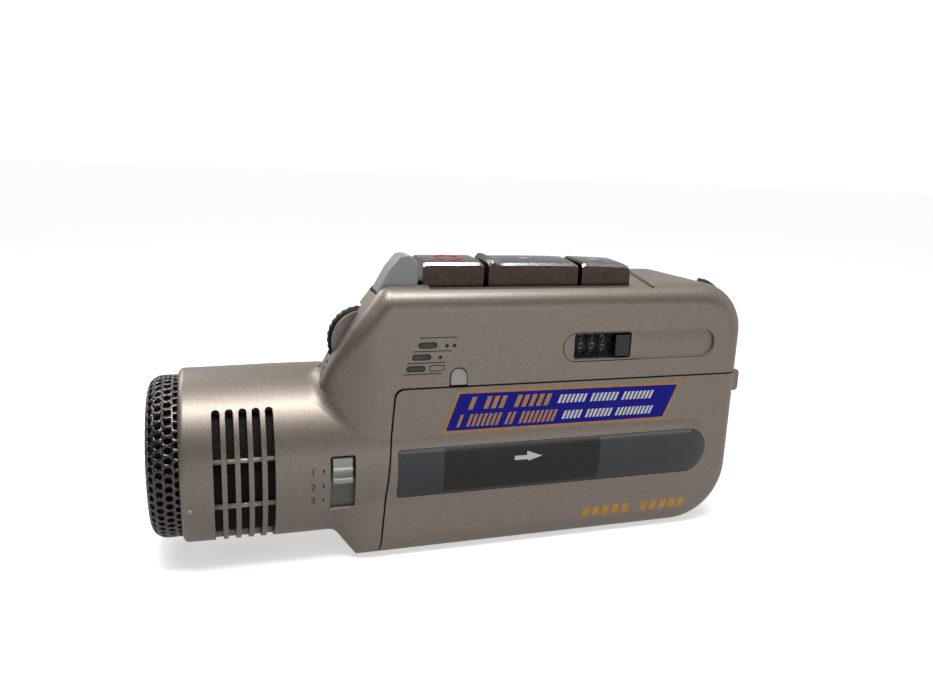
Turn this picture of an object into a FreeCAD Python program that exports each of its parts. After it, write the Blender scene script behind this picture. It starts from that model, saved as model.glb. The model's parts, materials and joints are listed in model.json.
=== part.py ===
"""Microcassette dictation machine with a stereo microphone barrel.

Row frame in millimetres: X along the length (microphone at -X), Y through the depth
(lid at -Y), Z up (keys on top).  The origin is the bottom centre of the bounding box.
"""
import FreeCAD, Part
import math
import os
import re
import Sketcher
from FreeCAD import Placement, Rotation, Vector

SIZES = {
    # housing
    "body_right": 68.85, "front_y": -18.4, "back_y": 17.2, "deck_z": 60.8, "wall": 1.8,
    "edge_round": 5.0, "plan_round": 14.0, "plan_left": -35.6,
    "upper_corner": 12.0, "lower_corner": 15.0, "parting_y": -0.8, "seam_gap": 0.4,
    # microphone barrel and the bulge that carries on over the lid
    "barrel_z": 21.3, "barrel_radius": 19.55, "barrel_lip_radius": 19.27,
    "barrel_left": -62.9, "barrel_full_x": -42.0, "bulge_end": 62.5,
    "slot_first_x": -56.28, "slot_pitch": 2.67, "slot_width": 1.65, "slot_count": 5,
    "slot_top_angle": 46.0, "slot_bottom_angle": 78.0,
    "cap_tip": -70.1, "cap_radius": 17.85, "cap_sheet": 0.7, "cap_round": 3.2,
    # cassette lid
    "lid_top": 39.2, "lid_back_y": -10.4, "hinge_y": -13.4, "hinge_z": 5.0,
    "hinge_pin_radius": 0.75, "hinge_clearance": 5.5, "running_gap": 0.05,
    "window_left": -18.1, "window_right": 60.0, "window_low": 14.2, "window_high": 25.6,
    "window_depth": 1.2,
    # keys
    "key_front_y": -12.3, "key_back_y": -1.2, "key_base_z": 57.3, "key_top_z": 65.6,
    "key_chamfer": 0.9, "key_skin": 1.2, "tray_depth": 0.7, "key_centre_y": -6.75,
    "record_left": -11.7, "record_width": 13.9, "play_left": 3.4, "play_width": 21.8,
    "stop_left": 26.3, "stop_width": 12.4, "post_radius": 1.2, "post_base_z": 49.5,
    "bracket_z": 51.5, "bracket_sheet": 1.0, "spring_radius": 1.85, "spring_wire": 0.22,
    # volume wheel, search lever and small controls
    "wheel_x": -24.2, "wheel_z": 47.9, "wheel_radius": 7.4, "wheel_front_y": -9.0,
    "wheel_thick": 3.4, "hump_radius": 6.9, "crease_radius": 4.0,
    "lever_front_y": -13.5, "lever_depth": 6.5, "lever_pivot_x": -15.6, "lever_pivot_z": 54.6,
    "mode_left": -32.7, "mode_width": 5.4, "mode_low": 12.3, "mode_high": 25.3,
    "eject_x": -4.7, "eject_z": 41.3, "eject_radius": 1.75,
    # tape counter
    "counter_z": 47.0, "counter_y": -12.7, "counter_radius": 3.4, "counter_first_x": 25.3,
    "counter_pitch": 2.8, "counter_wheel_width": 2.3, "counter_shaft_radius": 0.6,
    # tape drive
    "chassis_y": -6.0, "chassis_sheet": 1.0, "chassis_left": -13.5, "chassis_right": 64.0,
    "chassis_low": 4.0, "chassis_high": 46.0,
    "cassette_left": -12.35, "cassette_low": 5.9, "cassette_front_y": -15.9,
    "cassette_length": 50.0, "cassette_height": 33.0, "cassette_depth": 8.0,
    "hub_z": 20.0, "supply_x": 25.4, "takeup_x": -0.1,
    "capstan_x": 3.0, "capstan_z": 35.3, "capstan_radius": 0.75,
    "flywheel_radius": 11.0, "flywheel_y": -4.4, "flywheel_thick": 2.4,
    "motor_x": 34.0, "motor_z": 44.0, "motor_radius": 8.0, "pulley_radius": 1.6,
    "roller_radius": 2.6, "roller_z": 41.9, "head_y": -14.4,
    # power and sound
    "cell_radius": 7.25, "cell_length": 50.5, "cell_left": 7.6, "cell_y": 8.0,
    "lower_cell_z": 10.5, "upper_cell_z": 25.4,
    "door_left": 5.0, "door_y": 11.0, "door_low": 3.0, "door_high": 34.5,
    "speaker_x": -5.5, "speaker_z": 21.3, "speaker_radius": 12.0,
    "speed_y": -10.4, "speed_travel": 2.5,
    "jack_radius": 1.8, "jack_length": 9.0, "jack_y": 6.0, "ear_jack_z": 46.0, "power_jack_z": 40.0,
}

doc = FreeCAD.newDocument("dictation_machine")
sheet = doc.addObject("Spreadsheet::Sheet", "Sizes")
for row, (alias, value) in enumerate(SIZES.items(), start=1):
    sheet.set("A%d" % row, alias)
    sheet.set("B%d" % row, str(value))
    sheet.setAlias("B%d" % row, alias)
doc.recompute()

ALIAS = re.compile(r"\b(" + "|".join(sorted(SIZES, key=len, reverse=True)) + r")\b")
NODES = []


def size(alias):
    """A driving dimension read from the sheet."""
    return float(sheet.get(alias))


def linked(formula):
    """A formula of sheet aliases as a FreeCAD expression."""
    return ALIAS.sub(r"Sizes.\1", str(formula))


def bind(item, prop, formula):
    item.setExpression(prop, linked(formula))


def place(item, x, y, z):
    for letter, formula in zip("xyz", (x, y, z)):
        bind(item, ".Placement.Base." + letter, formula)


def node(item, label):
    """Mark an object as a sub-part of its own, exported under this label."""
    item.Label = label
    NODES.append(item)
    return item


# ---------------------------------------------------------------- primitives and booleans

TURNS = {
    "x": Rotation(Vector(0, 1, 0), 90),
    "y": Rotation(Vector(1, 0, 0), -90),
    "z": Rotation(),
}


def box(name, x, y, z, length, width, height):
    item = doc.addObject("Part::Box", name)
    bind(item, "Length", length)
    bind(item, "Width", width)
    bind(item, "Height", height)
    place(item, x, y, z)
    return item


def rod(name, axis, x, y, z, radius, length):
    item = doc.addObject("Part::Cylinder", name)
    bind(item, "Radius", radius)
    bind(item, "Height", length)
    item.Placement = Placement(Vector(), TURNS[axis])
    place(item, x, y, z)
    return item


def join(name, *parts):
    item = doc.addObject("Part::MultiFuse", name)
    item.Shapes = list(parts)
    return item


def cut(name, base, *tools):
    item = doc.addObject("Part::Cut", name)
    item.Base = base
    item.Tool = tools[0] if len(tools) == 1 else join(name + "_tools", *tools)
    return item


def chamfered(name, base, length, chooser):
    """Chamfer the edges of the base that the chooser accepts."""
    doc.recompute()
    item = doc.addObject("Part::Chamfer", name)
    item.Base = base
    chosen = [i for i, edge in enumerate(base.Shape.Edges, start=1) if chooser(edge)]
    item.Edges = [(i, length, length) for i in chosen]
    return item


# ---------------------------------------------------------------- PartDesign bodies

def body_with_sketch(name, role):
    body = doc.addObject("PartDesign::Body", name)
    plane = [f for f in body.Origin.OriginFeatures if f.Role == role][0]
    sketch = body.newObject("Sketcher::SketchObject", name + "_sketch")
    sketch.AttachmentSupport = [(plane, "")]
    sketch.MapMode = "FlatFace"
    return body, sketch


def closed_outline(sketch, points):
    """A closed outline whose corners are held by dimensions bound to the sheet."""
    count = len(points)
    guess = [Vector(math.cos(2 * math.pi * i / count) * 9 + 10,
                    math.sin(2 * math.pi * i / count) * 9 + 10, 0) for i in range(count)]
    for i in range(count):
        sketch.addGeometry(Part.LineSegment(guess[i], guess[(i + 1) % count]), False)
    for i in range(count):
        sketch.addConstraint(Sketcher.Constraint("Coincident", i, 2, (i + 1) % count, 1))
    for i, (across, along) in enumerate(points):
        for kind, axis_line, formula in (("DistanceX", -2, across), ("DistanceY", -1, along)):
            if str(formula) == "0":
                sketch.addConstraint(Sketcher.Constraint("PointOnObject", i, 1, axis_line))
                continue
            index = sketch.addConstraint(Sketcher.Constraint(kind, -1, 1, i, 1, 1.0))
            bind(sketch, "Constraints[%d]" % index, formula)


def turned(name, axis, x, y, z, profile):
    """A turned part: (radius, distance along the axis) corners spun about the axis."""
    body, sketch = body_with_sketch(name, "XZ_Plane")
    closed_outline(sketch, profile)
    spin = body.newObject("PartDesign::Revolution", name + "_turn")
    spin.Profile = sketch
    spin.ReferenceAxis = (sketch, ["V_Axis"])
    spin.Angle = 360.0
    body.Tip = spin
    body.Placement = Placement(Vector(), TURNS[axis])
    place(body, x, y, z)
    return body


def sheet_part(name, x, y, z, outline, thickness):
    """A flat part standing in the XZ plane: outline corners padded towards +Y."""
    body, sketch = body_with_sketch(name, "XZ_Plane")
    closed_outline(sketch, outline)
    pad = body.newObject("PartDesign::Pad", name + "_pad")
    pad.Profile = sketch
    bind(pad, "Length", thickness)
    pad.Reversed = True
    body.Tip = pad
    place(body, x, y, z)
    return body


# ---------------------------------------------------------------- housing surfaces

def segment(a, b):
    return Part.LineSegment(Vector(*a), Vector(*b)).toShape()


def arc_through(a, b, c):
    return Part.Arc(Vector(*a), Vector(*b), Vector(*c)).toShape()


def corner_arc(centre, radius, start, end, at):
    """An arc about a centre, from one angle in degrees to another; at(u, v) maps to 3-D."""
    def point(angle):
        turn = math.radians(angle)
        return at(centre[0] + radius * math.cos(turn), centre[1] + radius * math.sin(turn))
    return arc_through(point(start), point((start + end) / 2), point(end))


def front_view(x, z):
    return (x, 0.0, z)


def top_view(x, y):
    return (x, y, 0.0)


HIDDEN_LEFT = -60.0


def slab(inset):
    """The box of the body with round right corners and rolled front and back edges."""
    right, top = size("body_right") - inset, size("deck_z") - inset
    high, low = size("upper_corner") - inset, size("lower_corner") - inset
    edges = [
        segment(front_view(HIDDEN_LEFT, inset), front_view(right - low, inset)),
        corner_arc((right - low, inset + low), low, -90, 0, front_view),
        segment(front_view(right, inset + low), front_view(right, top - high)),
        corner_arc((right - high, top - high), high, 0, 90, front_view),
        segment(front_view(right - high, top), front_view(HIDDEN_LEFT, top)),
        segment(front_view(HIDDEN_LEFT, top), front_view(HIDDEN_LEFT, inset)),
    ]
    front, back = size("front_y") + inset, size("back_y") - inset
    solid = Part.Face(Part.Wire(edges)).extrude(Vector(0, back - front, 0))
    solid.translate(Vector(0, front, 0))
    rolled = []
    for edge in solid.Edges:
        reach = edge.BoundBox
        flat = reach.YMax - reach.YMin < 1e-6
        if flat and reach.XMax > HIDDEN_LEFT + 1:
            rolled.append(edge)
    return solid.makeFillet(size("edge_round") - inset, rolled)


SHOULDER_TOP = (-21.6, 59.7)
SHOULDER_MIDDLE = (-27.0, 52.4)
SHOULDER_FOOT = (-35.8, 33.0)
CHIN_TOP = (-36.5, 12.5)
CHIN_FOOT = (-26.3, 0.0)
FAR_RIGHT = 90.0
FAR = 30.0


def shoulder_profile(inset):
    """Front outline of the left end: shoulder slope above the barrel, short chin below."""
    deck = size("deck_z") + FAR
    edges = [
        segment(front_view(CHIN_FOOT[0] + 8, -10), front_view(FAR_RIGHT, -10)),
        segment(front_view(FAR_RIGHT, -10), front_view(FAR_RIGHT, deck)),
        segment(front_view(FAR_RIGHT, deck), front_view(-18.6, deck)),
        segment(front_view(-18.6, deck), front_view(-18.6, size("deck_z"))),
        arc_through(front_view(-18.6, size("deck_z")), front_view(-20.2, 60.45),
                    front_view(*SHOULDER_TOP)),
        arc_through(front_view(*SHOULDER_TOP), front_view(*SHOULDER_MIDDLE),
                    front_view(*SHOULDER_FOOT)),
        segment(front_view(*SHOULDER_FOOT), front_view(*CHIN_TOP)),
        segment(front_view(*CHIN_TOP), front_view(CHIN_FOOT[0] + 8, -10)),
    ]
    face = Part.Face(Part.Wire(edges))
    if inset:
        face = face.makeOffset2D(-inset, 0)
    solid = face.extrude(Vector(0, 2 * FAR, 0))
    solid.translate(Vector(0, -FAR, 0))
    return solid


def plan_profile(inset):
    """Top outline: the left end is rounded at the front and at the back."""
    front, back = size("front_y") + inset, size("back_y") - inset
    left, radius = size("plan_left") + inset, size("plan_round") - inset
    edges = [
        segment(top_view(left + radius, front), top_view(FAR_RIGHT, front)),
        segment(top_view(FAR_RIGHT, front), top_view(FAR_RIGHT, back)),
        segment(top_view(FAR_RIGHT, back), top_view(left + radius, back)),
        corner_arc((left + radius, back - radius), radius, 90, 180, top_view),
        segment(top_view(left, back - radius), top_view(left, front + radius)),
        corner_arc((left + radius, front + radius), radius, 180, 270, top_view),
    ]
    solid = Part.Face(Part.Wire(edges)).extrude(Vector(0, 0, 4 * FAR))
    solid.translate(Vector(0, 0, -10))
    return solid


def back_facet(inset):
    """The slanting facet that takes off the upper left corner at the back."""
    low_point = Vector(-34.0, -5.0, 41.0)
    along = Vector(13.6, -1.0, 19.8).normalize()
    across = Vector(26.4, 23.2, 0.0).normalize()
    outward = along.cross(across).normalize()
    if outward.z < 0:
        outward = outward * -1
    start = low_point - outward * inset
    box_size = 160.0
    block = Part.makeBox(box_size, box_size, box_size, Vector(-box_size / 2, -box_size / 2, 0))
    turn = Rotation(Vector(0, 0, 1), outward)
    block.Placement = Placement(start, turn)
    return block


def edge_near(shape, x, y, z):
    """The edge whose middle lies nearest to a point."""
    def distance(edge):
        return (edge.valueAt((edge.FirstParameter + edge.LastParameter) / 2) - Vector(x, y, z)).Length
    return min(shape.Edges, key=distance)


def body_block(inset):
    """The rounded body without its barrel; the two front creases of its left end are softened outside."""
    block = slab(inset).common(shoulder_profile(inset)).common(plan_profile(inset)).cut(back_facet(inset))
    if inset:
        return block
    shoulder_crease = edge_near(block, -31.7, -14.0, 43.8)
    chin_crease = edge_near(block, -33.4, -11.9, 8.7)
    return block.makeFillet(size("crease_radius"), [shoulder_crease, chin_crease])


def revolved(edges):
    face = Part.Face(Part.Wire(edges))
    return face.revolve(Vector(0, 0, size("barrel_z")), Vector(1, 0, 0), 360)


def barrel(inset, side):
    """The microphone barrel; at the front it runs on over the lid as a soft bulge."""
    def at(x, radius):
        return (x, 0.0, size("barrel_z") + radius)
    left, full, lip = size("barrel_left"), size("barrel_radius") - inset, size("barrel_lip_radius") - inset
    edges = [
        segment(at(left, 0), at(left, lip - 1.2)),
        arc_through(at(left, lip - 1.2), at(left + 0.35, lip - 0.35), at(left + 1.2, lip)),
        segment(at(left + 1.2, lip), at(size("barrel_full_x"), full)),
    ]
    if side == "front":
        end = size("bulge_end")
        edges += [
            segment(at(size("barrel_full_x"), full), at(end - 7.5, full)),
            arc_through(at(end - 7.5, full), at(end - 3.63, full - 0.495), at(end, full - 1.95)),
            segment(at(end, full - 1.95), at(end, 0)),
            segment(at(end, 0), at(left, 0)),
        ]
    else:
        edges += [
            segment(at(size("barrel_full_x"), full), at(-32.0, full)),
            segment(at(-32.0, full), at(-12.0, full - 4.4)),
            segment(at(-12.0, full - 4.4), at(-12.0, 0)),
            segment(at(-12.0, 0), at(left, 0)),
        ]
    return revolved(edges)


def x_cylinder(radius, start, end, y, z):
    return Part.makeCylinder(radius, end - start, Vector(start, y, z), Vector(1, 0, 0))


def y_cylinder(radius, x, z, start, end):
    return Part.makeCylinder(radius, end - start, Vector(x, start, z), Vector(0, 1, 0))


def block_between(x0, y0, z0, x1, y1, z1):
    return Part.makeBox(x1 - x0, y1 - y0, z1 - z0, Vector(x0, y0, z0))


def front_prism(edges, y0, y1):
    """Extrude a closed outline drawn in the front view from y0 to y1."""
    solid = Part.Face(Part.Wire(edges)).extrude(Vector(0, y1 - y0, 0))
    solid.translate(Vector(0, y0, 0))
    return solid


def stadium(x0, x1, z0, z1, y0, y1, radius=None):
    """A box with round corners in the front view, extruded from y0 to y1."""
    r = (z1 - z0) / 2 if radius is None else radius
    edges = [corner_arc((x1 - r, z0 + r), r, -90, 0, front_view),
             corner_arc((x1 - r, z1 - r), r, 0, 90, front_view),
             corner_arc((x0 + r, z1 - r), r, 90, 180, front_view),
             corner_arc((x0 + r, z0 + r), r, 180, 270, front_view)]
    edges.append(segment(front_view(x0 + r, z0), front_view(x1 - r, z0)))
    edges.append(segment(front_view(x0 + r, z1), front_view(x1 - r, z1)))
    if z1 - z0 - 2 * r > 1e-6:
        edges.append(segment(front_view(x0, z0 + r), front_view(x0, z1 - r)))
        edges.append(segment(front_view(x1, z0 + r), front_view(x1, z1 - r)))
    return front_prism(Part.__sortEdges__(edges), y0, y1)


def volume_hump(radius, y0, y1):
    """Disc about the volume wheel's axis."""
    return Part.makeCylinder(radius, y1 - y0, Vector(size("wheel_x"), y0, size("wheel_z")), Vector(0, 1, 0))


def corner_band(radius, thick, start, end, y0, y1):
    """A piece of a band that follows the round upper right corner of the body."""
    centre = (size("body_right") - size("upper_corner"), size("deck_z") - size("upper_corner"))
    outer = corner_arc(centre, radius, start, end, front_view)
    inner = corner_arc(centre, radius - thick, start, end, front_view)
    ends = [segment(tuple(outer.Vertexes[i].Point), tuple(inner.Vertexes[i].Point)) for i in (0, 1)]
    return front_prism(Part.__sortEdges__([outer, inner] + ends), y0, y1)


OUTSIDE = 40.0
wheel_back_y = size("wheel_front_y") + size("wheel_thick")
hump = volume_hump(size("hump_radius"), size("wheel_front_y") - 1.4, size("wheel_front_y") - 0.2)
outer_front = body_block(0.0).fuse(barrel(0.0, "front")).fuse(hump)
outer_rear = body_block(0.0).fuse(barrel(0.0, "rear"))
wall = size("wall")
barrel_bore = x_cylinder(size("barrel_radius") - wall, size("barrel_left") - 1, 57.0, 0, size("barrel_z"))
rear_bore = x_cylinder(size("barrel_radius") - wall, size("barrel_left") - 1, -31.0, 0, size("barrel_z"))
cap_seat = x_cylinder(size("cap_radius") + 0.1, size("barrel_left") - 1, -59.0, 0, size("barrel_z"))
inner_front = body_block(wall).fuse(barrel_bore).fuse(cap_seat)
inner_rear = body_block(wall).fuse(rear_bore).fuse(cap_seat)
front_half = block_between(-100, -OUTSIDE, -10, 100, size("parting_y"), 100)
rear_half = block_between(-100, size("parting_y"), -10, 100, OUTSIDE, 100)


# ---------------------------------------------------------------- lid outline and parting

def lid_region(gap):
    """The part of the skin that belongs to the lid, drawn in by the gap."""
    top = size("lid_top") - gap
    corner = 2.0
    edges = [
        arc_through(front_view(-22.4 + gap, -6), front_view(-20.7 + gap, 14.9),
                    front_view(-19.0 + gap, top - corner)),
        arc_through(front_view(-19.0 + gap, top - corner), front_view(-18.35 + gap, top - 0.6),
                    front_view(-17.0 + gap, top)),
        segment(front_view(-17.0 + gap, top), front_view(FAR_RIGHT, top)),
        segment(front_view(FAR_RIGHT, top), front_view(FAR_RIGHT, -6)),
        segment(front_view(FAR_RIGHT, -6), front_view(-22.4 + gap, -6)),
    ]
    region = front_prism(edges, -OUTSIDE, size("lid_back_y") - gap)
    under = block_between(-OUTSIDE, size("hinge_y"), -10, 100, 0, size("hinge_z"))
    return region.cut(under)


def hinge_sweep():
    """Room in the floor of the front shell for the lower edge of the lid to turn."""
    y, z, reach = size("hinge_y"), size("hinge_z"), size("hinge_clearance")
    slant = reach * math.sqrt(0.5)
    corner = (-22.5, y - 0.3, z)
    back = (-22.5, y + reach, z)
    low = (-22.5, y + math.sqrt(reach ** 2 - (z + 0.4) ** 2), -0.4)
    edges = [segment(corner, back), arc_through(back, (-22.5, y + slant, z - slant), low),
             segment(low, (-22.5, y - 0.3, -0.4)), segment((-22.5, y - 0.3, -0.4), corner)]
    return Part.Face(Part.Wire(edges)).extrude(Vector(100, 0, 0))


def feature(name, shape):
    item = doc.addObject("Part::Feature", name)
    item.Shape = shape
    item.Placement = shape.Placement
    return node(item, name)


gap = size("seam_gap")
front_y, barrel_z = size("front_y"), size("barrel_z")
window_shape = stadium(size("window_left"), size("window_right"), size("window_low"), size("window_high"),
                       -OUTSIDE, -10, 5.5)
window_square = stadium(size("window_left"), 40.0, size("window_low"), size("window_high"), -OUTSIDE, -10,
                        0.8)
window_outline = window_shape.fuse(window_square)
window_floor = barrel(size("window_depth"), "front")
inspection = stadium(-6.2, 31.5, 15.6, 25.0, -OUTSIDE, -10, 0.8)


def lid_shape():
    skin = outer_front.common(lid_region(gap)).cut(inner_front)
    tab = stadium(66.0, 70.1, 33.6, 39.0, -15.5, -10.8, 0.9)
    tab = tab.cut(body_block(wall))
    ears = []
    for start in (-20.0, 52.0):
        ear = x_cylinder(2.4, start, start + 2.0, size("hinge_y"), size("hinge_z"))
        web = block_between(start, front_y + 1.0, size("hinge_z") - 2.4,
                            start + 2.0, size("hinge_y"), size("hinge_z") + 2.4)
        hole = x_cylinder(size("hinge_pin_radius") + size("running_gap"), start - 1, start + 3,
                          size("hinge_y"), size("hinge_z"))
        ears.append(ear.fuse(web).common(outer_front).cut(hole))
    lid = skin.fuse(tab).fuse(ears)
    recess = outer_front.common(window_outline).cut(window_floor)
    return lid.cut(recess).cut(inspection).removeSplitter()


feature("cassette_lid", lid_shape())
feature("lid_window", outer_front.common(stadium(size("window_left") + 0.1, size("window_right") - 0.1,
        size("window_low") + 0.1, size("window_high") - 0.1, -OUTSIDE, -10, 5.4).fuse(
        stadium(size("window_left") + 0.1, 40.0, size("window_low") + 0.1, size("window_high") - 0.1,
                -OUTSIDE, -10, 0.8))).cut(window_floor))


# ---------------------------------------------------------------- front and rear shells

def barrel_slots():
    """Round-ended slots sawn round the front of the barrel, open through its wall."""
    def ray(angle, reach):
        turn = math.radians(angle)
        return (0.0, -reach * math.cos(turn), barrel_z + reach * math.sin(turn))
    half = size("slot_width") / 2
    high = size("slot_top_angle") - math.degrees(half / size("barrel_radius"))
    low = -size("slot_bottom_angle")
    corners = [ray(0, 0), ray(high, OUTSIDE), ray(0, 2 * OUTSIDE), ray(low, OUTSIDE)]
    edges = [segment(a, b) for a, b in zip(corners, corners[1:] + corners[:1])]
    cutters = []
    for number in range(int(size("slot_count"))):
        left = size("slot_first_x") + number * size("slot_pitch")
        wedge = Part.Face(Part.Wire(edges)).extrude(Vector(size("slot_width"), 0, 0))
        wedge.translate(Vector(left, 0, 0))
        start = Vector(*ray(high, 5.0)) + Vector(left + half, 0, 0)
        way = Vector(*ray(high, 6.0)) - Vector(*ray(high, 5.0))
        cutters += [wedge, Part.makeCylinder(half, OUTSIDE, start, way)]
    return cutters


def deck_tray():
    """The deck round the keys lies a little lower, up to a slanting step at the right."""
    z = size("deck_z")
    corners = [(-11.0, -OUTSIDE), (42.5, -OUTSIDE), (42.5, -17.0), (51.0, 9.0), (53.5, OUTSIDE),
               (-11.0, OUTSIDE)]
    edges = [segment(top_view(*a), top_view(*b)) for a, b in zip(corners, corners[1:] + corners[:1])]
    solid = Part.Face(Part.Wire(edges)).extrude(Vector(0, 0, FAR))
    solid.translate(Vector(0, 0, z - size("tray_depth")))
    return solid


def counter_recess():
    return stadium(19.8, 59.8, 43.4, 50.3, front_y - 1, front_y + 0.7)


def front_openings():
    mode = stadium(size("mode_left"), size("mode_left") + size("mode_width"), size("mode_low"),
                   size("mode_high"), -OUTSIDE, -14, 0.6)
    eject = Part.makeCylinder(size("eject_radius") + 0.3, 12,
                              Vector(size("eject_x"), -OUTSIDE + 18, size("eject_z")),
                              Vector(0, 1, 0))
    eject_slot = block_between(size("eject_x") - 2.05, -22, 38, size("eject_x") + 2.05, -10,
                               size("eject_z"))
    lamps = [stadium(x, x + 4.3, z - 0.7, z + 0.7, -22, -10) for x, z in LAMPS]
    counter = stadium(22.6, 37.1, 44.0, 50.0, -22, -10, 0.4)
    keys = block_between(-12.1, -12.7, 50, 39.1, 0, 80)
    lever = block_between(-22.3, size("lever_front_y") - 0.4, 55, -12.0,
                          size("lever_front_y") + size("lever_depth") + 0.4, 80)
    speed = corner_band(size("upper_corner") + 3, 6.0, 36.5, 71.5, size("speed_y") - 0.3,
                        size("speed_y") + 4.3 + size("speed_travel"))
    wheel = volume_hump(size("wheel_radius") + 0.7, size("wheel_front_y") - 0.3, wheel_back_y + 0.3)
    plate_seat = block_between(size("mode_left") - 0.6, front_y + 1.65, size("mode_low") - 0.4,
                               size("mode_left") + size("mode_width") + 0.6, -10, size("mode_high") + 0.6)
    return [mode, plate_seat, eject, eject_slot, counter, keys, lever, wheel, speed] + lamps


LAMPS = [(-14.0, 48.5), (-15.3, 45.9), (-16.5, 43.4)]


def front_shell_shape():
    shell = outer_front.common(front_half).cut(inner_front)
    boss = x_cylinder(2.6, -25.0, -22.5, size("hinge_y"), size("hinge_z"))
    foot = block_between(-25.0, size("hinge_y") - 2.6, 0, -22.5, size("hinge_y") + 2.6, size("hinge_z"))
    shell = shell.fuse(boss.fuse(foot).common(outer_front))
    pin_hole = x_cylinder(size("hinge_pin_radius"), -24.2, -18, size("hinge_y"), size("hinge_z"))
    shell = shell.cut(lid_region(0.0)).cut(hinge_sweep()).cut(pin_hole).cut(deck_tray()).cut(counter_recess())
    for cutter in front_openings() + barrel_slots():
        shell = shell.cut(cutter)
    return shell.removeSplitter()


def door_region(clearance):
    return block_between(size("door_left") + clearance, size("door_y") + clearance,
                         size("door_low") + clearance,
                         100, OUTSIDE, size("door_high") - clearance)


SCREWS = [(-8.0, 6.5), (6.0, 52.5), (57.0, 52.5)]
SCREW_HEAD = 1.9
SCREW_SHANK = 0.9
SCREW_POST = 2.3


def rear_shell_shape():
    shell = outer_rear.common(rear_half).cut(inner_rear)
    for x, z in SCREWS:
        shell = shell.fuse(y_cylinder(SCREW_POST, x, z, 2.5, 15.6))
    shell = shell.cut(deck_tray()).cut(door_region(0.0))
    for number in range(9):
        x = size("speaker_x") - 9.2 + number * 2.3
        half = math.sqrt(max(10.5 ** 2 - (x - size("speaker_x")) ** 2, 4.0))
        slot = stadium(-half, half, -0.65, 0.65, 12, 30)
        slot.rotate(Vector(), Vector(0, 1, 0), 90)
        slot.translate(Vector(x, 0, size("speaker_z")))
        shell = shell.cut(slot)
    for z in (size("ear_jack_z"), size("power_jack_z")):
        shell = shell.cut(x_cylinder(2.8, 66, 72, size("jack_y"), z))
    for x, z in SCREWS:
        shell = shell.cut(y_cylinder(SCREW_HEAD + 0.1, x, z, 14.1, 34.0))
        shell = shell.cut(y_cylinder(SCREW_SHANK, x, z, 0.0, 15.0))
    return shell.removeSplitter()


feature("front_shell", front_shell_shape())
feature("rear_shell", rear_shell_shape())
feature("battery_door", outer_rear.common(door_region(0.3)).cut(inner_rear).removeSplitter())


# ---------------------------------------------------------------- lid hardware

pin_left = rod("hinge_pin_left", "x", -24.2, "hinge_y", "hinge_z", "hinge_pin_radius", 6.3)
pin_right = rod("hinge_pin_right", "x", 49.2, "hinge_y", "hinge_z", "hinge_pin_radius", 5.0)
node(join("hinge_pins", pin_left, pin_right), "lid_hinge_pins")

def label_shape():
    corners = [(-5.0, 38.3), (51.9, 37.7), (47.8, 28.1), (-8.6, 28.1)]
    edges = [segment(front_view(*a), front_view(*b)) for a, b in zip(corners, corners[1:] + corners[:1])]
    return front_prism(edges, front_y - 0.15, front_y)


feature("label_sticker", label_shape())


# ---------------------------------------------------------------- microphone barrel contents

node(turned("cap_body", "x", "cap_tip", 0, "barrel_z", [
    (0, 0), ("cap_radius - cap_round - 1.6", 0.25), ("cap_radius - 1.0", "cap_round * 0.45"),
    ("cap_radius", "cap_round + 1"), ("cap_radius", 10.2), ("cap_radius - cap_sheet", 10.2),
    ("cap_radius - cap_sheet", "cap_round + 1.1"), ("cap_radius - 1.7", "cap_round * 0.45 + 0.5"),
    ("cap_radius - cap_round - 1.8", "0.25 + cap_sheet"), (0, "cap_sheet")]), "mic_grille_cap")
node(rod("foam_disc", "x", -67.2, 0, "barrel_z", "cap_radius - 2.2", 2.4), "mic_foam")
screen_outer = rod("screen_outer", "x", -57.6, 0, "barrel_z", "barrel_radius - wall - 0.15", 15.4)
screen_inner = rod("screen_inner", "x", -58.6, 0, "barrel_z", "barrel_radius - wall - 0.85", 17.4)
node(cut("screen_tube", screen_outer, screen_inner), "slot_screen")
holder_disc = rod("holder_disc", "x", -61.8, 0, "barrel_z", "cap_radius - 1.2", 2.4)
holder_seats = [rod("holder_seat_%s" % side, "x", -63, y, "barrel_z", 4.9, 5)
                for side, y in (("front", -7.5), ("rear", 7.5))]
node(cut("holder_cut", holder_disc, *holder_seats), "mic_holder")
for side, y in (("front", -7.5), ("rear", 7.5)):
    node(rod("capsule_%s" % side, "x", -64.2, y, "barrel_z", 4.85, 5.6), "%s_microphone" % side)


# ---------------------------------------------------------------- keys

def key(label, left, width, ridge=False):
    """A hollow key with a chamfered top, a guide post and a spring of its own."""
    depth = "key_back_y - key_front_y"
    block = box(label + "_block", left, "key_front_y", "key_base_z", width, depth, "key_top_z - key_base_z")
    top = size("key_top_z")
    bevelled = chamfered(label + "_bevel", block, size("key_chamfer"),
                         lambda edge: edge.BoundBox.ZMin > top - 0.01)
    hollow = box(label + "_hollow", left + " + key_skin", "key_front_y + key_skin", "key_base_z - 1",
                 width + " - 2 * key_skin", depth + " - 2 * key_skin",
                 "key_top_z - key_base_z + 1 - 2 * key_skin")
    skin = cut(label + "_skin", bevelled, hollow)
    post = rod(label + "_post", "z", left + " + " + width + " / 2", "key_centre_y", "post_base_z",
               "post_radius",
               "key_top_z - key_skin - post_base_z")
    parts = [skin, post]
    if ridge:
        parts.append(box(label + "_ridge", left, "key_front_y + 0.9", "key_top_z - 1.5", 1.6,
                         depth + " - 1.8", 2.4))
    return node(join(label + "_whole", *parts), label)


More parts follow.
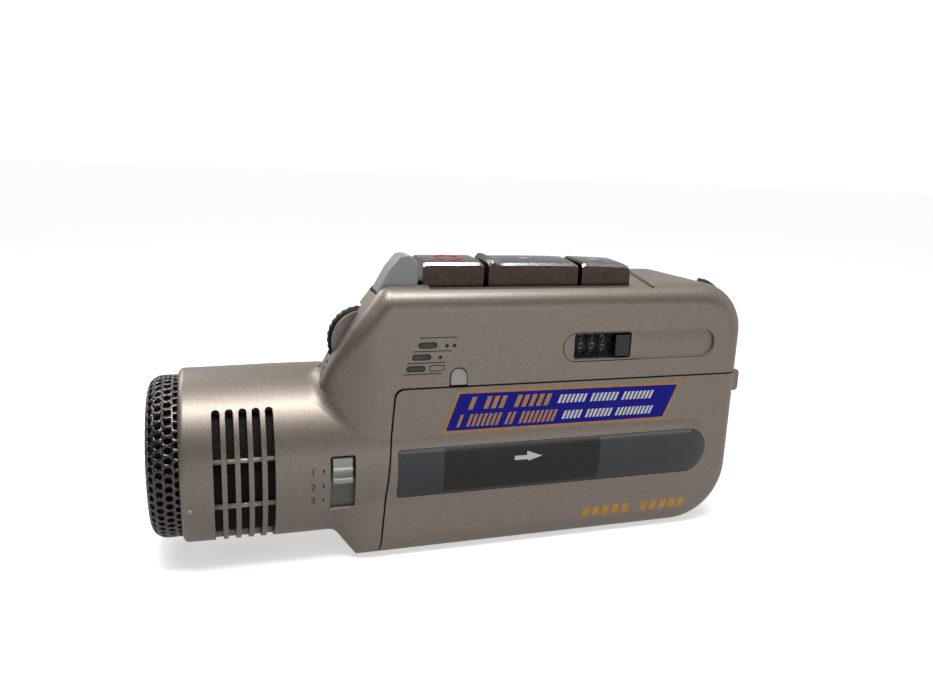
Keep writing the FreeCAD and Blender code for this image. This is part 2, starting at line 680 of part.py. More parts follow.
def coil_spring(label, x):
    """A helical compression spring standing round a key's post."""
    low = size("bracket_z") + size("bracket_sheet") + size("spring_wire") + 0.02
    height = size("key_top_z") - 2 * size("key_skin") - low - size("spring_wire") - 0.05
    turns = 6
    helix = Part.makeHelix(height / turns, height, size("spring_radius"))
    circle = Part.makeCircle(size("spring_wire"), Vector(size("spring_radius"), 0, 0), Vector(0, 1, 0))
    coil = Part.Wire(helix.Edges).makePipeShell([Part.Wire(circle)], True, True)
    coil.translate(Vector(x, size("key_centre_y"), low))
    feature(label, coil)


KEYS = (("record_key", "record_left", "record_width", False), ("play_key", "play_left", "play_width", True),
        ("stop_key", "stop_left", "stop_width", False))
key_posts = []
for key_label, key_left, key_width, with_ridge in KEYS:
    key(key_label, key_left, key_width, with_ridge)
    middle = size(key_left) + size(key_width) / 2
    coil_spring(key_label + "_spring", middle)
    key_posts.append(rod(key_label + "_guide", "z", key_left + " + " + key_width + " / 2", "key_centre_y",
                         "bracket_z - 1", "post_radius + running_gap", 3))
key_shelf = box("key_shelf", -17.1, -14.6, "bracket_z", 59.6, 12.7, "bracket_sheet")
lever_ears = [box("lever_ear_%d" % number, "lever_pivot_x - 1.5", y, "bracket_z", 3.0, 0.7, 4.6)
              for number, y in enumerate(("lever_front_y - 1.1", "lever_front_y + lever_depth + 0.5"))]
lever_ear_bore = rod("lever_ear_bore", "y", "lever_pivot_x", -16, "lever_pivot_z", 0.8, 14)
node(cut("key_shelf_cut", join("key_shelf_raw", key_shelf, *lever_ears), lever_ear_bore, *key_posts),
     "key_bracket")


# ---------------------------------------------------------------- search lever and volume wheel

def lever_shape():
    """Round-topped fin on a stem that rocks about a pin below the deck."""
    y0, y1 = size("lever_front_y"), size("lever_front_y") + size("lever_depth")
    edges = [
        segment(front_view(-13.0, 59.3), front_view(-12.95, 64.0)),
        arc_through(front_view(-12.95, 64.0), front_view(-15.6, 67.2), front_view(-18.7, 65.2)),
        segment(front_view(-18.7, 65.2), front_view(-21.4, 60.2)),
        segment(front_view(-21.4, 60.2), front_view(-20.2, 59.3)),
        segment(front_view(-20.2, 59.3), front_view(-13.0, 59.3)),
    ]
    fin = front_prism(edges, y0, y1)
    px, pz = size("lever_pivot_x"), size("lever_pivot_z")
    stem = block_between(px - 1.6, y0 + 1.2, pz, px + 1.6, y1 - 1.2, 60.0)
    hub = Part.makeCylinder(1.9, y1 - y0 - 2.4, Vector(px, y0 + 1.2, pz), Vector(0, 1, 0))
    bore = Part.makeCylinder(0.8 + size("running_gap"), 20, Vector(px, y0 - 5, pz), Vector(0, 1, 0))
    return fin.fuse(stem).fuse(hub).cut(bore).removeSplitter()


feature("search_lever", lever_shape())
node(rod("lever_pin_rod", "y", "lever_pivot_x", "lever_front_y - 1.1", "lever_pivot_z", 0.8,
         "lever_depth + 2.4"),
     "lever_pin")
wheel_disc = rod("wheel_disc", "y", "wheel_x", "wheel_front_y", "wheel_z", "wheel_radius", "wheel_thick")
wheel_axle = rod("wheel_axle", "y", "wheel_x", "wheel_front_y - 4.0", "wheel_z", 1.2, "wheel_thick + 4.2")
node(join("wheel_whole", wheel_disc, wheel_axle), "volume_wheel")
pot_case = box("pot_case", "wheel_x - 1.8", "wheel_front_y - 4.2", "wheel_z - 4.4", 6, 3.6, 6.2)
pot_bore = rod("pot_bore", "y", "wheel_x", -15, "wheel_z", "1.2 + running_gap", 12)
node(cut("pot_cut", pot_case, pot_bore), "volume_control")


# ---------------------------------------------------------------- small controls

knob = box("mode_knob_pad", "mode_left + 0.55", "-barrel_radius", 18.9, "mode_width - 1.1", 1.9, 5.9)
knob_stem = box("mode_knob_stem", "mode_left + 1.7", "front_y + 0.3", 20.4, 2.0, 2.2, 2.8)
node(join("mode_knob_whole", knob, knob_stem), "mic_mode_knob")
plate = box("mode_plate_blank", "mode_left - 0.6", "front_y + 1.65", "mode_low - 0.4", "mode_width + 1.2",
            0.7,
            "mode_high - mode_low + 1.0")
plate_slot = box("mode_plate_slot", "mode_left + 1.55", -18, 14.25, 2.3, 3, 9.1)
node(cut("mode_plate_cut", plate, plate_slot), "mic_mode_plate")

button = rod("eject_disc", "y", "eject_x", "front_y - 0.35", "eject_z", "eject_radius", 2.9)
foot = box("eject_foot", "eject_x - eject_radius", "front_y - 0.35", "lid_top + 0.35", "2 * eject_radius",
           2.9,
           "eject_z - lid_top - 0.35")
stem = rod("eject_stem_rod", "y", "eject_x", "front_y + 2.4", "eject_z", 0.9, 4.6)
node(join("eject_whole", button, foot, stem), "eject_button")

lenses = [stadium(x + 0.08, x + 4.22, z - 0.62, z + 0.62, front_y + 0.15, front_y + 2.1) for x, z in LAMPS]
lamp_bar = block_between(-17.5, front_y + 2.1, 42.2, -8.6, front_y + 3.1, 49.8)
feature("battery_lamps", lenses[0].fuse(lenses[1:]).fuse(lamp_bar).removeSplitter())


corner = size("upper_corner")
switch_pad = corner_band(corner + 0.9, 2.4, 38, 70, size("speed_y"), size("speed_y") + 4.0)
switch_tongue = corner_band(corner - 1.4, 2.0, 48, 60, size("speed_y") + 1.0, size("speed_y") + 3.0)
feature("speed_switch", switch_pad.fuse(switch_tongue).removeSplitter())


# ---------------------------------------------------------------- tape counter

counter_span = "counter_pitch * 2 + counter_wheel_width"
node(rod("counter_rod", "x", "counter_first_x - 3.2", "counter_y", "counter_z", "counter_shaft_radius",
         14.4), "counter_shaft")
side_left = box("counter_side_left", "counter_first_x - 2.7", "counter_y - 3", "counter_z - 3", 0.9, 7.4, 6)
side_right = box("counter_side_right", "counter_first_x + 9.4", "counter_y - 2", "counter_z - 3", 0.9, 6.4,
                 6)
side_back = box("counter_side_back", "counter_first_x - 2.7", "counter_y + 3.6", "counter_z - 3", 13.0, 0.8,
                6)
frame_bore = rod("counter_frame_bore", "x", "counter_first_x - 6", "counter_y", "counter_z",
                 "counter_shaft_radius", 24)
node(cut("counter_frame_cut", join("counter_frame_raw", side_left, side_right, side_back), frame_bore),
     "counter_frame")
for digit, digit_name in enumerate(("hundreds", "tens", "units")):
    start = "counter_first_x + counter_pitch * %d - counter_wheel_width / 2" % digit
    disc = rod("counter_disc_" + digit_name, "x", start, "counter_y", "counter_z", "counter_radius",
               "counter_wheel_width")
    bore = rod("counter_disc_bore_" + digit_name, "x", start + " - 1", "counter_y", "counter_z",
               "counter_shaft_radius + running_gap", 5)
    node(cut("counter_disc_cut_" + digit_name, disc, bore), digit_name + "_wheel")
reset_pad = box("reset_pad", 33.0, "front_y - 0.2", 44.5, 3.6, 2.4, 5.0)
reset_stem = box("reset_stem", 33.6, "front_y + 2.2", 45.4, 0.8, 5.0, 0.7)
node(join("reset_whole", reset_pad, reset_stem), "counter_reset_button")
feature("counter_window", stadium(22.7, 32.6, 44.1, 49.9, front_y + 0.75, front_y + 1.35, 0.4))


# ---------------------------------------------------------------- tape drive

chassis = sheet_part("chassis_sheet_metal", 0, "chassis_y", 0, [
    ("chassis_left", "chassis_low"), ("chassis_right - 6", "chassis_low"),
    ("chassis_right", "chassis_low + 6"),
    ("chassis_right", "chassis_high"), ("chassis_left", "chassis_high")], "chassis_sheet")
chassis_holes = [rod("chassis_hole_%s" % name, "y", x, "chassis_y - 1", z, radius, 4)
                 for name, x, z, radius in (
    ("supply", "supply_x", "hub_z", "1.5 + running_gap"),
    ("takeup", "takeup_x", "hub_z", "1.5 + running_gap"),
    ("capstan", "capstan_x", "capstan_z", 1.8), ("left_screw", -9.5, 10, 1.0), ("right_screw", 52, 10, 1.0),
    ("top_screw", 52, 40, 1.0))]
hinge_ear = box("hinge_ear", 49.6, "hinge_y - 1.6", "hinge_z - 2", 1.6, "chassis_y - hinge_y + 1.8", 5)
hinge_ear_hole = rod("hinge_ear_hole", "x", 48, "hinge_y", "hinge_z", "hinge_pin_radius", 4)
node(cut("chassis_cut", join("chassis_raw", chassis, hinge_ear), hinge_ear_hole, *chassis_holes),
     "chassis_plate")
node(turned("bearing_body", "y", "capstan_x", "chassis_y - 0.2", "capstan_z", [
    ("capstan_radius + running_gap", 0), (1.8, 0), (1.8, 1.5),
    ("capstan_radius + running_gap", 1.5)]), "capstan_bearing")
node(turned("flywheel_body", "y", "capstan_x", -15.2, "capstan_z", [
    (0, 0), ("capstan_radius", 0), ("capstan_radius", 10.8), (3.0, 10.8), (3.0, 11.3),
    ("flywheel_radius - 2.2", 11.3), ("flywheel_radius - 2.2", 10.8), ("flywheel_radius", 10.8),
    ("flywheel_radius", 11.6), ("flywheel_radius - 0.5", 12.0), ("flywheel_radius", 12.4),
    ("flywheel_radius", 13.2), ("1.0", 13.2), (1.0, 14.6), (0, 14.6)]), "flywheel")


def spindle(label, x):
    """A splined drive spindle with its friction disc behind the chassis."""
    shaft = rod(label + "_shaft", "y", x, "chassis_y - 0.6", "hub_z", 1.5, 3.2)
    nose = rod(label + "_nose", "y", x, -14.6, "hub_z", 1.9, 8.0)
    wings = [box(label + "_wing_%d" % number, x + " - %s" % dx, -13.8, "hub_z - %s" % dz, 2 * dx, 6.6,
                 2 * dz)
             for number, (dx, dz) in enumerate(((2.5, 0.4), (0.4, 2.5)))]
    disc = rod(label + "_disc", "y", x, "chassis_y + chassis_sheet + 0.3", "hub_z", 3.2, 1.2)
    return node(join(label + "_whole", shaft, nose, disc, *wings), label)


spindle("supply_spindle", "supply_x")
spindle("takeup_spindle", "takeup_x")


def reel(label, x, pack_radius):
    """A tape hub with its wound tape; the hub's teeth clear the spindle's wings."""
    hub = rod(label + "_hub", "y", x, -14.6, "hub_z", 5.2, 5.4)
    pack = rod(label + "_pack", "y", x, -13.8, "hub_z", pack_radius, 3.8)
    bore = rod(label + "_bore", "y", x, -16, "hub_z", 2.75, 9)
    return node(cut(label + "_cut", join(label + "_raw", hub, pack), bore), label)


reel("supply_reel", "supply_x", 10.4)
reel("takeup_reel", "takeup_x", 7.6)

cassette_block = box("cassette_block", "cassette_left", "cassette_front_y", "cassette_low",
                     "cassette_length",
                     "cassette_depth", "cassette_height")
cassette_bevel = chamfered("cassette_bevel", cassette_block, 1.2,
                           lambda edge: edge.BoundBox.YMax - edge.BoundBox.YMin > 5)
cassette_room = box("cassette_room", "cassette_left + 1.2", "cassette_front_y + 1.0", "cassette_low + 1.2",
                    "cassette_length - 2.4", "cassette_depth - 2.0", "cassette_height - 6.4")
cassette_bay = box("cassette_bay", "cassette_left + 9", "cassette_front_y - 1",
                   "cassette_low + cassette_height - 4.4",
                   26, 12, 9)
cassette_holes = [rod("cassette_hole_%s" % name, "y", x, -18, z, radius, 12) for name, x, z, radius in (
    ("supply", "supply_x", "hub_z", 3.4), ("takeup", "takeup_x", "hub_z", 3.4),
    ("capstan", "capstan_x", "capstan_z", 2.2))]
node(cut("cassette_cut", cassette_bevel, cassette_room, cassette_bay, *cassette_holes), "cassette_shell")

base_plate = box("head_base_plate", -1.0, "chassis_y - 1.4", 39.4, 24.5, 1.1, 6.0)
roller_post = rod("roller_post", "y", "capstan_x", -14.6, "roller_z", 0.7, 7.6)
head_pads = [box("head_pad_%d" % number, x, "head_y + 5.6", 40.6, width, 1.6, 2.6)
             for number, (x, width) in enumerate(((10.6, 4.4), (18.8, 1.8)))]
node(join("head_base_whole", base_plate, roller_post, *head_pads), "head_base")
node(box("play_head_block", 9.6, "head_y", 39.7, 6.4, 5.6, 4.6), "record_play_head")
node(box("erase_head_block", 18.0, "head_y + 1.0", 39.7, 3.4, 4.6, 3.8), "erase_head")
node(turned("roller_body", "y", "capstan_x", -14.2, "roller_z", [
    ("0.7 + running_gap", 0), ("roller_radius", 0), ("roller_radius", 5.4),
    ("0.7 + running_gap", 5.4)]), "pinch_roller")

node(turned("motor_body", "y", "motor_x", -1.6, "motor_z", [
    (0, 0), (3.0, 0), (3.0, 0.8), ("motor_radius", 0.8), ("motor_radius", 12.0), (2.6, 12.0), (2.6, 12.8),
    (0, 12.8)]), "motor")
node(turned("pulley_body", "y", "motor_x", "flywheel_y - 0.2", "motor_z", [
    (0, 0), ("pulley_radius + 0.6", 0), ("pulley_radius + 0.6", 0.6), ("pulley_radius", 0.9),
    ("pulley_radius", 1.5), ("pulley_radius + 0.6", 1.8), ("pulley_radius + 0.6", 2.4),
    (0, 2.4)]), "motor_pulley")


def belt_shape():
    """A thin flat belt round the flywheel's rim and the motor's pulley."""
    fx, fz, fr = size("capstan_x"), size("capstan_z"), size("flywheel_radius")
    mx, mz, mr = size("motor_x"), size("motor_z"), size("pulley_radius") + 0.6

    def loop(extra):
        big, small = fr + extra, mr + extra
        span = math.hypot(mx - fx, mz - fz)
        lean = math.atan2(mz - fz, mx - fx)
        turn = math.acos((big - small) / span)
        def on(cx, cz, radius, angle):
            return front_view(cx + radius * math.cos(angle), cz + radius * math.sin(angle))
        up, down = lean + turn, lean - turn
        edges = [segment(on(fx, fz, big, up), on(mx, mz, small, up)),
                 arc_through(on(mx, mz, small, up), on(mx, mz, small, lean), on(mx, mz, small, down)),
                 segment(on(mx, mz, small, down), on(fx, fz, big, down)),
                 arc_through(on(fx, fz, big, down), on(fx, fz, big, lean + math.pi), on(fx, fz, big, up))]
        return front_prism(edges, size("flywheel_y") + 0.6, size("flywheel_y") + 1.4)
    return loop(0.8).cut(loop(0.25))


feature("drive_belt", belt_shape())


# ---------------------------------------------------------------- power, sound and board

for cell_name in ("lower_cell", "upper_cell"):
    tip = 1.2
    can = rod(cell_name + "_can", "x", "cell_left", "cell_y", cell_name + "_z", "cell_radius",
              "cell_length - 1.2")
    nub = rod(cell_name + "_nub", "x", "cell_left + cell_length - 1.2", "cell_y", cell_name + "_z", 2.6,
              tip)
    node(join(cell_name + "_whole", can, nub), cell_name)
contacts = [box("contact_%s" % name, "cell_left + cell_length + 0.05", "cell_y - 5", z, 0.5, 10, 10)
            for name, z in (("lower", "lower_cell_z - 5"), ("upper", "upper_cell_z - 5"))]
contacts.append(box("contact_link", "cell_left - 0.6", "cell_y - 5", "lower_cell_z - 5", 0.5, 10, 25))
node(join("contact_group", *contacts), "battery_contacts")
node(turned("speaker_body", "y", "speaker_x", 9.0, "speaker_z", [
    (0, 0), (5.0, 0), (5.0, 2.2), (9.0, 3.4), ("speaker_radius", 4.2), ("speaker_radius", 5.4),
    ("speaker_radius - 1.5", 5.4), (5.0, 3.2), (0, 3.0)]), "speaker")
board_blank = box("board_blank", 4.5, 12.9, 36.2, 52, 1.2, 20.0)
board_holes = [rod("board_hole_%d" % number, "y", x, 11, z, SCREW_POST + 0.2, 5)
               for number, (x, z) in enumerate(SCREWS[1:])]
node(cut("board_cut", board_blank, *board_holes), "main_board")
chips = [box("chip_%d" % number, x, 11.7, z, width, 1.2, height)
         for number, (x, z, width, height) in enumerate(((8, 39, 9, 6), (12, 48, 10, 5), (46, 42, 7, 7)))]
node(join("chip_group", *chips), "board_chips")
for jack_name, jack_z in (("ear_jack", "ear_jack_z"), ("power_jack", "power_jack_z")):
    case = rod(jack_name + "_case", "x", "body_right - jack_length - 0.4", "jack_y", jack_z, 2.7,
               "jack_length")
    bore = rod(jack_name + "_bore", "x", "body_right - jack_length - 1", "jack_y", jack_z, "jack_radius",
               "jack_length + 2")
    node(cut(jack_name + "_cut", case, bore), jack_name)
screw_parts = []
for number, (x, z) in enumerate(SCREWS):
    head = rod("screw_head_%d" % number, "y", x, 14.1, z, SCREW_HEAD, 1.3)
    shank = rod("screw_shank_%d" % number, "y", x, 2.0, z, SCREW_SHANK, 12.2)
    screw_parts.append(join("screw_%d" % number, head, shank))
node(join("screw_group", *screw_parts), "case_screws")


# ---------------------------------------------------------------- checks and export

doc.recompute()
faults = []
for item in doc.Objects:
    if "Invalid" in item.State or "Error" in item.State:
        faults.append("%s is %s" % (item.Name, item.State))
for item in NODES:
    if item.Shape.isNull() or not item.Shape.isValid():
        faults.append("%s has no valid shape" % item.Label)
if faults:
    raise RuntimeError("; ".join(faults))

os.makedirs("parts", exist_ok=True)
total = FreeCAD.BoundBox()
for item in NODES:
    item.Shape.exportStep("parts/%s.step" % item.Label)
    total.add(item.Shape.optimalBoundingBox(True, False))
print("%d nodes, x %.2f..%.2f, y %.2f..%.2f, z %.2f..%.2f" % (
    len(NODES), total.XMin, total.XMax, total.YMin, total.YMax, total.ZMin, total.ZMax))
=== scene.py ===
import json
import math

import bmesh
import bpy
from mathutils import Matrix, Vector


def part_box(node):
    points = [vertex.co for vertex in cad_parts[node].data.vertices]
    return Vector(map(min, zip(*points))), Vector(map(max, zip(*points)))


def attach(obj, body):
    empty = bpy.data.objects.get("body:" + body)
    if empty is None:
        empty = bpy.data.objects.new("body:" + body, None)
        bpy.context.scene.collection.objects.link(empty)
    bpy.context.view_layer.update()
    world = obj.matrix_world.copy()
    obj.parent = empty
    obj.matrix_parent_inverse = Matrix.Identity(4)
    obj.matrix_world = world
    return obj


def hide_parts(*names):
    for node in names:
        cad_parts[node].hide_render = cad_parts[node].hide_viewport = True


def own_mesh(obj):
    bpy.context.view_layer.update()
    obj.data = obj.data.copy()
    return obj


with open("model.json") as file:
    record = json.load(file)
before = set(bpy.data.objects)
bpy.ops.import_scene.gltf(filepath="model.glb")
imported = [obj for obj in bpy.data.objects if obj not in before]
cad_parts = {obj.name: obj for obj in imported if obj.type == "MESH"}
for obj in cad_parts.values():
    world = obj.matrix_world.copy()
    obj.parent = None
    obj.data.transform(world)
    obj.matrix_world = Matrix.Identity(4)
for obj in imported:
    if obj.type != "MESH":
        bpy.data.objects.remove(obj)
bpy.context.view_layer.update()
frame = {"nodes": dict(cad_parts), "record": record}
NODES = frame["nodes"]
MM = 0.001

# Lights: strength of the world and watts of the three lamps.
WORLD_STRENGTH = 0.50
TOP_WATTS = 1.8
FILL_WATTS = 0.25
BACK_WATTS = 0.7

# The camera, solved from the photograph's outline: place in millimetres and two of its axes.
CAMERA_PLACE = (-54.75, -175.03, 84.95)
CAMERA_RIGHT = (0.95173, -0.30477, 0.03629)
CAMERA_FORWARD = (0.30499, 0.92585, -0.22313)
SENSOR_WIDTH = 36.0
FOCAL_LENGTH = 30.10

# Places that the CAD and several pieces share, in millimetres.
BARREL_Z = 21.3                                 # the barrel's axis, which lies along x at y = 0
BARREL_R = 19.55
FRONT_Y = -18.4                                 # front face of the case and the lid
KEY_Y = -6.75                                   # middle of the key row
WHEEL_X, WHEEL_Y, WHEEL_Z = -24.2, -9.0, 47.9   # volume wheel: front face and axis
CORNER_X, CORNER_Z = 56.85, 48.8                # centre of the round upper right corner
GRILLE_SEAT = -62.0                             # x where the grille meets the barrel


# ---------------------------------------------------------------- camera, light and floor

def make_camera():
    """The photograph's viewpoint."""
    data = bpy.data.cameras.new("camera")
    data.sensor_width = SENSOR_WIDTH
    data.lens = FOCAL_LENGTH
    data.clip_start = 0.01
    data.clip_end = 20.0
    camera = bpy.data.objects.new("camera", data)
    bpy.context.scene.collection.objects.link(camera)
    right = Vector(CAMERA_RIGHT).normalized()
    forward = Vector(CAMERA_FORWARD).normalized()
    up = right.cross(forward).normalized()
    turn = Matrix((right, up, -forward)).transposed()
    camera.matrix_world = Matrix.Translation(Vector(CAMERA_PLACE) * MM) @ turn.to_4x4()
    bpy.context.scene.camera = camera


def area_light(name, place, target, size, watts, colour):
    """A soft box at place that points at target."""
    data = bpy.data.lights.new(name, "AREA")
    data.shape = "RECTANGLE"
    data.size, data.size_y = size
    data.energy = watts
    data.color = colour
    lamp = bpy.data.objects.new(name, data)
    bpy.context.scene.collection.objects.link(lamp)
    lamp.location = place
    lamp.rotation_mode = "QUATERNION"
    lamp.rotation_quaternion = (Vector(target) - Vector(place)).to_track_quat("-Z", "Y")


def stage_plane(name, corners, colour, glow, seen):
    """A flat card of the studio: either seen by the camera, or lighting and mirrored by the object."""
    mesh = bpy.data.meshes.new(name)
    bm = bmesh.new()
    bm.faces.new([bm.verts.new(corner) for corner in corners])
    bm.to_mesh(mesh)
    bm.free()
    item = bpy.data.objects.new(name, mesh)
    bpy.context.scene.collection.objects.link(item)
    paint = bpy.data.materials.new(name + "_paint")
    paint.use_nodes = True
    shader = paint.node_tree.nodes["Principled BSDF"]
    shader.inputs["Base Color"].default_value = (*colour, 1)
    shader.inputs["Roughness"].default_value = 0.95
    shader.inputs["Specular IOR Level"].default_value = 0.05
    shader.inputs["Emission Color"].default_value = (1, 1, 1, 1)
    shader.inputs["Emission Strength"].default_value = glow
    mesh.materials.append(paint)
    item.visible_camera = seen
    for kind in ("diffuse", "glossy", "transmission"):
        setattr(item, "visible_" + kind, not seen)


def make_stage():
    """White floor and backdrop for the camera, table and dark cards for the reflections, three lamps."""
    world = bpy.data.worlds.new("studio")
    world.use_nodes = True
    background = world.node_tree.nodes["Background"]
    background.inputs["Color"].default_value = (1.0, 0.985, 0.96, 1)
    background.inputs["Strength"].default_value = WORLD_STRENGTH
    bpy.context.scene.world = world
    bpy.context.scene.view_settings.view_transform = "Standard"
    far, wall_radius, wall_sides, wall_height, foot = 30.0, 14, 24, 30, -0.1
    square = [(-far, -far), (far, -far), (far, far), (-far, far)]
    stage_plane("floor", [(x, y, 0) for x, y in square], (0.85, 0.85, 0.85), 0.55, seen=True)
    turns = [2 * math.pi * k / wall_sides for k in range(wall_sides + 1)]
    wall = [(wall_radius * math.cos(t), wall_radius * math.sin(t)) for t in turns]
    for k, ((ax, ay), (bx, by)) in enumerate(zip(wall, wall[1:])):
        corners = [(ax, ay, foot), (bx, by, foot), (bx, by, wall_height), (ax, ay, wall_height)]
        stage_plane("backdrop_%d" % k, corners, (0.1, 0.1, 0.1), 1.0, seen=True)
    stage_plane("table", [(x, y, -0.001) for x, y in square], (0.80, 0.78, 0.75), 0.25, seen=False)
    front = [(-0.9, -0.70, 0.02), (0.9, -0.70, 0.02), (0.9, -0.80, 1.0), (-0.9, -0.80, 1.0)]
    stage_plane("front_card", front, (0.03, 0.03, 0.03), 0.0, seen=False)
    left = [(-0.60, -0.6, 0.0), (-0.60, 0.7, 0.0), (-0.60, 0.7, 0.35), (-0.60, -0.6, 0.35)]
    stage_plane("left_card", left, (0.02, 0.02, 0.02), 0.0, seen=False)
    middle = (0.0, 0.0, 0.03)
    area_light("top_light", (-0.02, -0.13, 0.50), middle, (0.34, 0.12), TOP_WATTS, (1.0, 0.985, 0.96))
    low = (0.0, 0.0, 0.015)
    area_light("front_fill", (0.16, -0.55, 0.07), low, (0.5, 0.12), FILL_WATTS, (1.0, 0.98, 0.95))
    area_light("back_light", (-0.25, 0.35, 0.35), middle, (0.3, 0.2), BACK_WATTS, (0.98, 0.99, 1.0))


# ---------------------------------------------------------------- material kit

# Depth of the relief in metres.
BRUSH_DEPTH = 0.00001
GRAIN_DEPTH = 0.00002
WAVE_DEPTH = 0.0002
PORE_DEPTH = 0.0003


class Surface:
    """A Principled material with object-space procedural detail."""

    def __init__(self, name, colour, rough, metal=0.0, **sockets):
        self.material = bpy.data.materials.new(name)
        self.material.use_nodes = True
        self.tree = self.material.node_tree
        self.shader = self.tree.nodes["Principled BSDF"]
        self.shader.inputs["Base Color"].default_value = (*colour, 1)
        self.shader.inputs["Roughness"].default_value = rough
        self.shader.inputs["Metallic"].default_value = metal
        for socket, value in sockets.items():
            self.shader.inputs[socket.replace("_", " ")].default_value = value
        self.place = self.tree.nodes.new("ShaderNodeTexCoord").outputs["Object"]
        self.normal = None

    def add(self, kind, **inputs):
        """A node, each input linked to a socket or set to a value."""
        item = self.tree.nodes.new(kind)
        for socket, value in inputs.items():
            target = item.inputs[socket.replace("_", " ")]
            if isinstance(value, bpy.types.NodeSocket):
                self.tree.links.new(value, target)
            else:
                target.default_value = value
        return item

    def noise(self, scale, detail=2.0, stretch=None):
        """Noise over the object, finer along the axes that stretch enlarges."""
        where = self.place
        if stretch:
            where = self.add("ShaderNodeMapping", Vector=self.place, Scale=stretch).outputs["Vector"]
        return self.add("ShaderNodeTexNoise", Vector=where, Scale=scale, Detail=detail).outputs["Fac"]

    def cells(self, scale, output="Color"):
        """Small cells, each with its own colour or its distance from the middle."""
        return self.add("ShaderNodeTexVoronoi", Vector=self.place, Scale=scale).outputs[output]

    def ramp(self, factor, stops):
        """Colours between stops."""
        item = self.add("ShaderNodeValToRGB", Fac=factor)
        ramp = item.color_ramp
        while len(ramp.elements) < len(stops):
            ramp.elements.new(0.5)
        for element, (position, colour) in zip(ramp.elements, stops):
            element.position = position
            element.color = (*colour, 1)
        return item.outputs["Color"]

    def grade(self, factor, low, high):
        """The factor moved to the range low to high."""
        item = self.add("ShaderNodeMapRange", Value=factor)
        item.inputs["To Min"].default_value = low
        item.inputs["To Max"].default_value = high
        return item.outputs["Result"]

    def colour(self, socket):
        self.tree.links.new(socket, self.shader.inputs["Base Color"])

    def rough(self, socket):
        self.tree.links.new(socket, self.shader.inputs["Roughness"])

    def bump(self, height, strength, distance):
        """Relief on top of the relief that is already there."""
        item = self.add("ShaderNodeBump", Height=height, Strength=strength, Distance=distance)
        if self.normal is not None:
            self.tree.links.new(self.normal, item.inputs["Normal"])
        self.normal = item.outputs["Normal"]
        self.tree.links.new(self.normal, self.shader.inputs["Normal"])

    def mottle(self, factor, colour, darker, lighter):
        """Base colour between a darker and a lighter tone of a colour."""
        self.colour(self.ramp(factor, [(0.3, toned(colour, darker)), (0.7, toned(colour, lighter))]))


def toned(colour, factor):
    """A darker or lighter tone of a colour."""
    return tuple(c * factor for c in colour)


def flake_paint():
    """Champagne metallic lacquer: coarse aluminium flakes under a thin clear coat."""
    base = (0.315, 0.275, 0.240)
    s = Surface("champagne_lacquer", base, 0.40, 0.72, Coat_Weight=0.2, Coat_Roughness=0.22)
    fine = s.cells(7000.0)
    grain = s.noise(3800.0, 3.0)
    mixed = s.add("ShaderNodeMix", Factor=0.5)
    mixed.data_type = "RGBA"
    colour_a, colour_b, colour_result = 6, 7, 2     # the Mix node's sockets in RGBA mode
    s.tree.links.new(fine, mixed.inputs[colour_a])
    s.tree.links.new(grain, mixed.inputs[colour_b])
    grey = s.add("ShaderNodeRGBToBW", Color=mixed.outputs[colour_result]).outputs["Val"]
    s.colour(s.ramp(grey, [(0.22, toned(base, 0.72)), (0.55, base), (0.80, toned(base, 1.30))]))
    s.rough(s.grade(grain, 0.36, 0.50))
    s.bump(grey, 0.14, GRAIN_DEPTH)
    s.bump(s.noise(700.0, 2.0), 0.06, GRAIN_DEPTH)
    return s.material


def plastic(name, colour, rough, grain=2500.0, relief=0.1, spread=0.12, **sockets):
    """Moulded plastic: slow tone changes, uneven gloss and a fine grain."""
    s = Surface(name, colour, rough, 0.0, **sockets)
    s.mottle(s.noise(120.0, 4.0), colour, 1 - spread, 1 + spread)
    s.rough(s.grade(s.noise(900.0, 3.0), rough * 0.85, min(1.0, rough * 1.2)))
    s.bump(s.noise(grain, 2.0), relief, GRAIN_DEPTH)
    return s.material


def metal(name, colour, rough, brush=(1, 1, 1), scale=1500.0, relief=0.08, spread=0.10):
    """Bare or plated metal, brushed across the axes that brush enlarges."""
    s = Surface(name, colour, rough, 1.0)
    streak = s.noise(scale, 4.0, brush)
    s.mottle(streak, colour, 1 - spread, 1 + spread)
    s.rough(s.grade(streak, rough * 0.8, rough * 1.3))
    s.bump(streak, relief, BRUSH_DEPTH)
    return s.material


def simple(name, colour, rough, metal_part=0.0, **sockets):
    """Printing ink or a thin coloured panel."""
    s = Surface(name, colour, rough, metal_part, **sockets)
    s.mottle(s.noise(900.0, 3.0), colour, 0.88, 1.1)
    s.bump(s.noise(2600.0, 2.0), 0.05, BRUSH_DEPTH)
    return s.material


def smoked_plastic():
    """The lid's dark window: nearly black, glossy, slightly wavy."""
    s = Surface("smoked_window", (0.012, 0.014, 0.019), 0.07, 0.0, Coat_Weight=0.4, Coat_Roughness=0.03)
    s.rough(s.grade(s.noise(260.0, 5.0), 0.05, 0.13))
    s.colour(s.ramp(s.noise(70.0, 3.0), [(0.3, (0.030, 0.034, 0.040)), (0.7, (0.040, 0.045, 0.052))]))
    s.bump(s.noise(60.0, 2.0), 0.03, WAVE_DEPTH)
    return s.material


def soft_foam():
    """Open-pored black foam behind the grille."""
    s = Surface("foam", (0.012, 0.012, 0.012), 0.95, 0.0)
    pores = s.cells(1800.0, "Distance")
    # Painted shade: each pore is darker towards its sunken middle.
    s.colour(s.ramp(pores, [(0.0, (0.002, 0.002, 0.002)), (0.6, (0.012, 0.011, 0.010))]))
    s.bump(pores, 0.8, PORE_DEPTH)
    return s.material


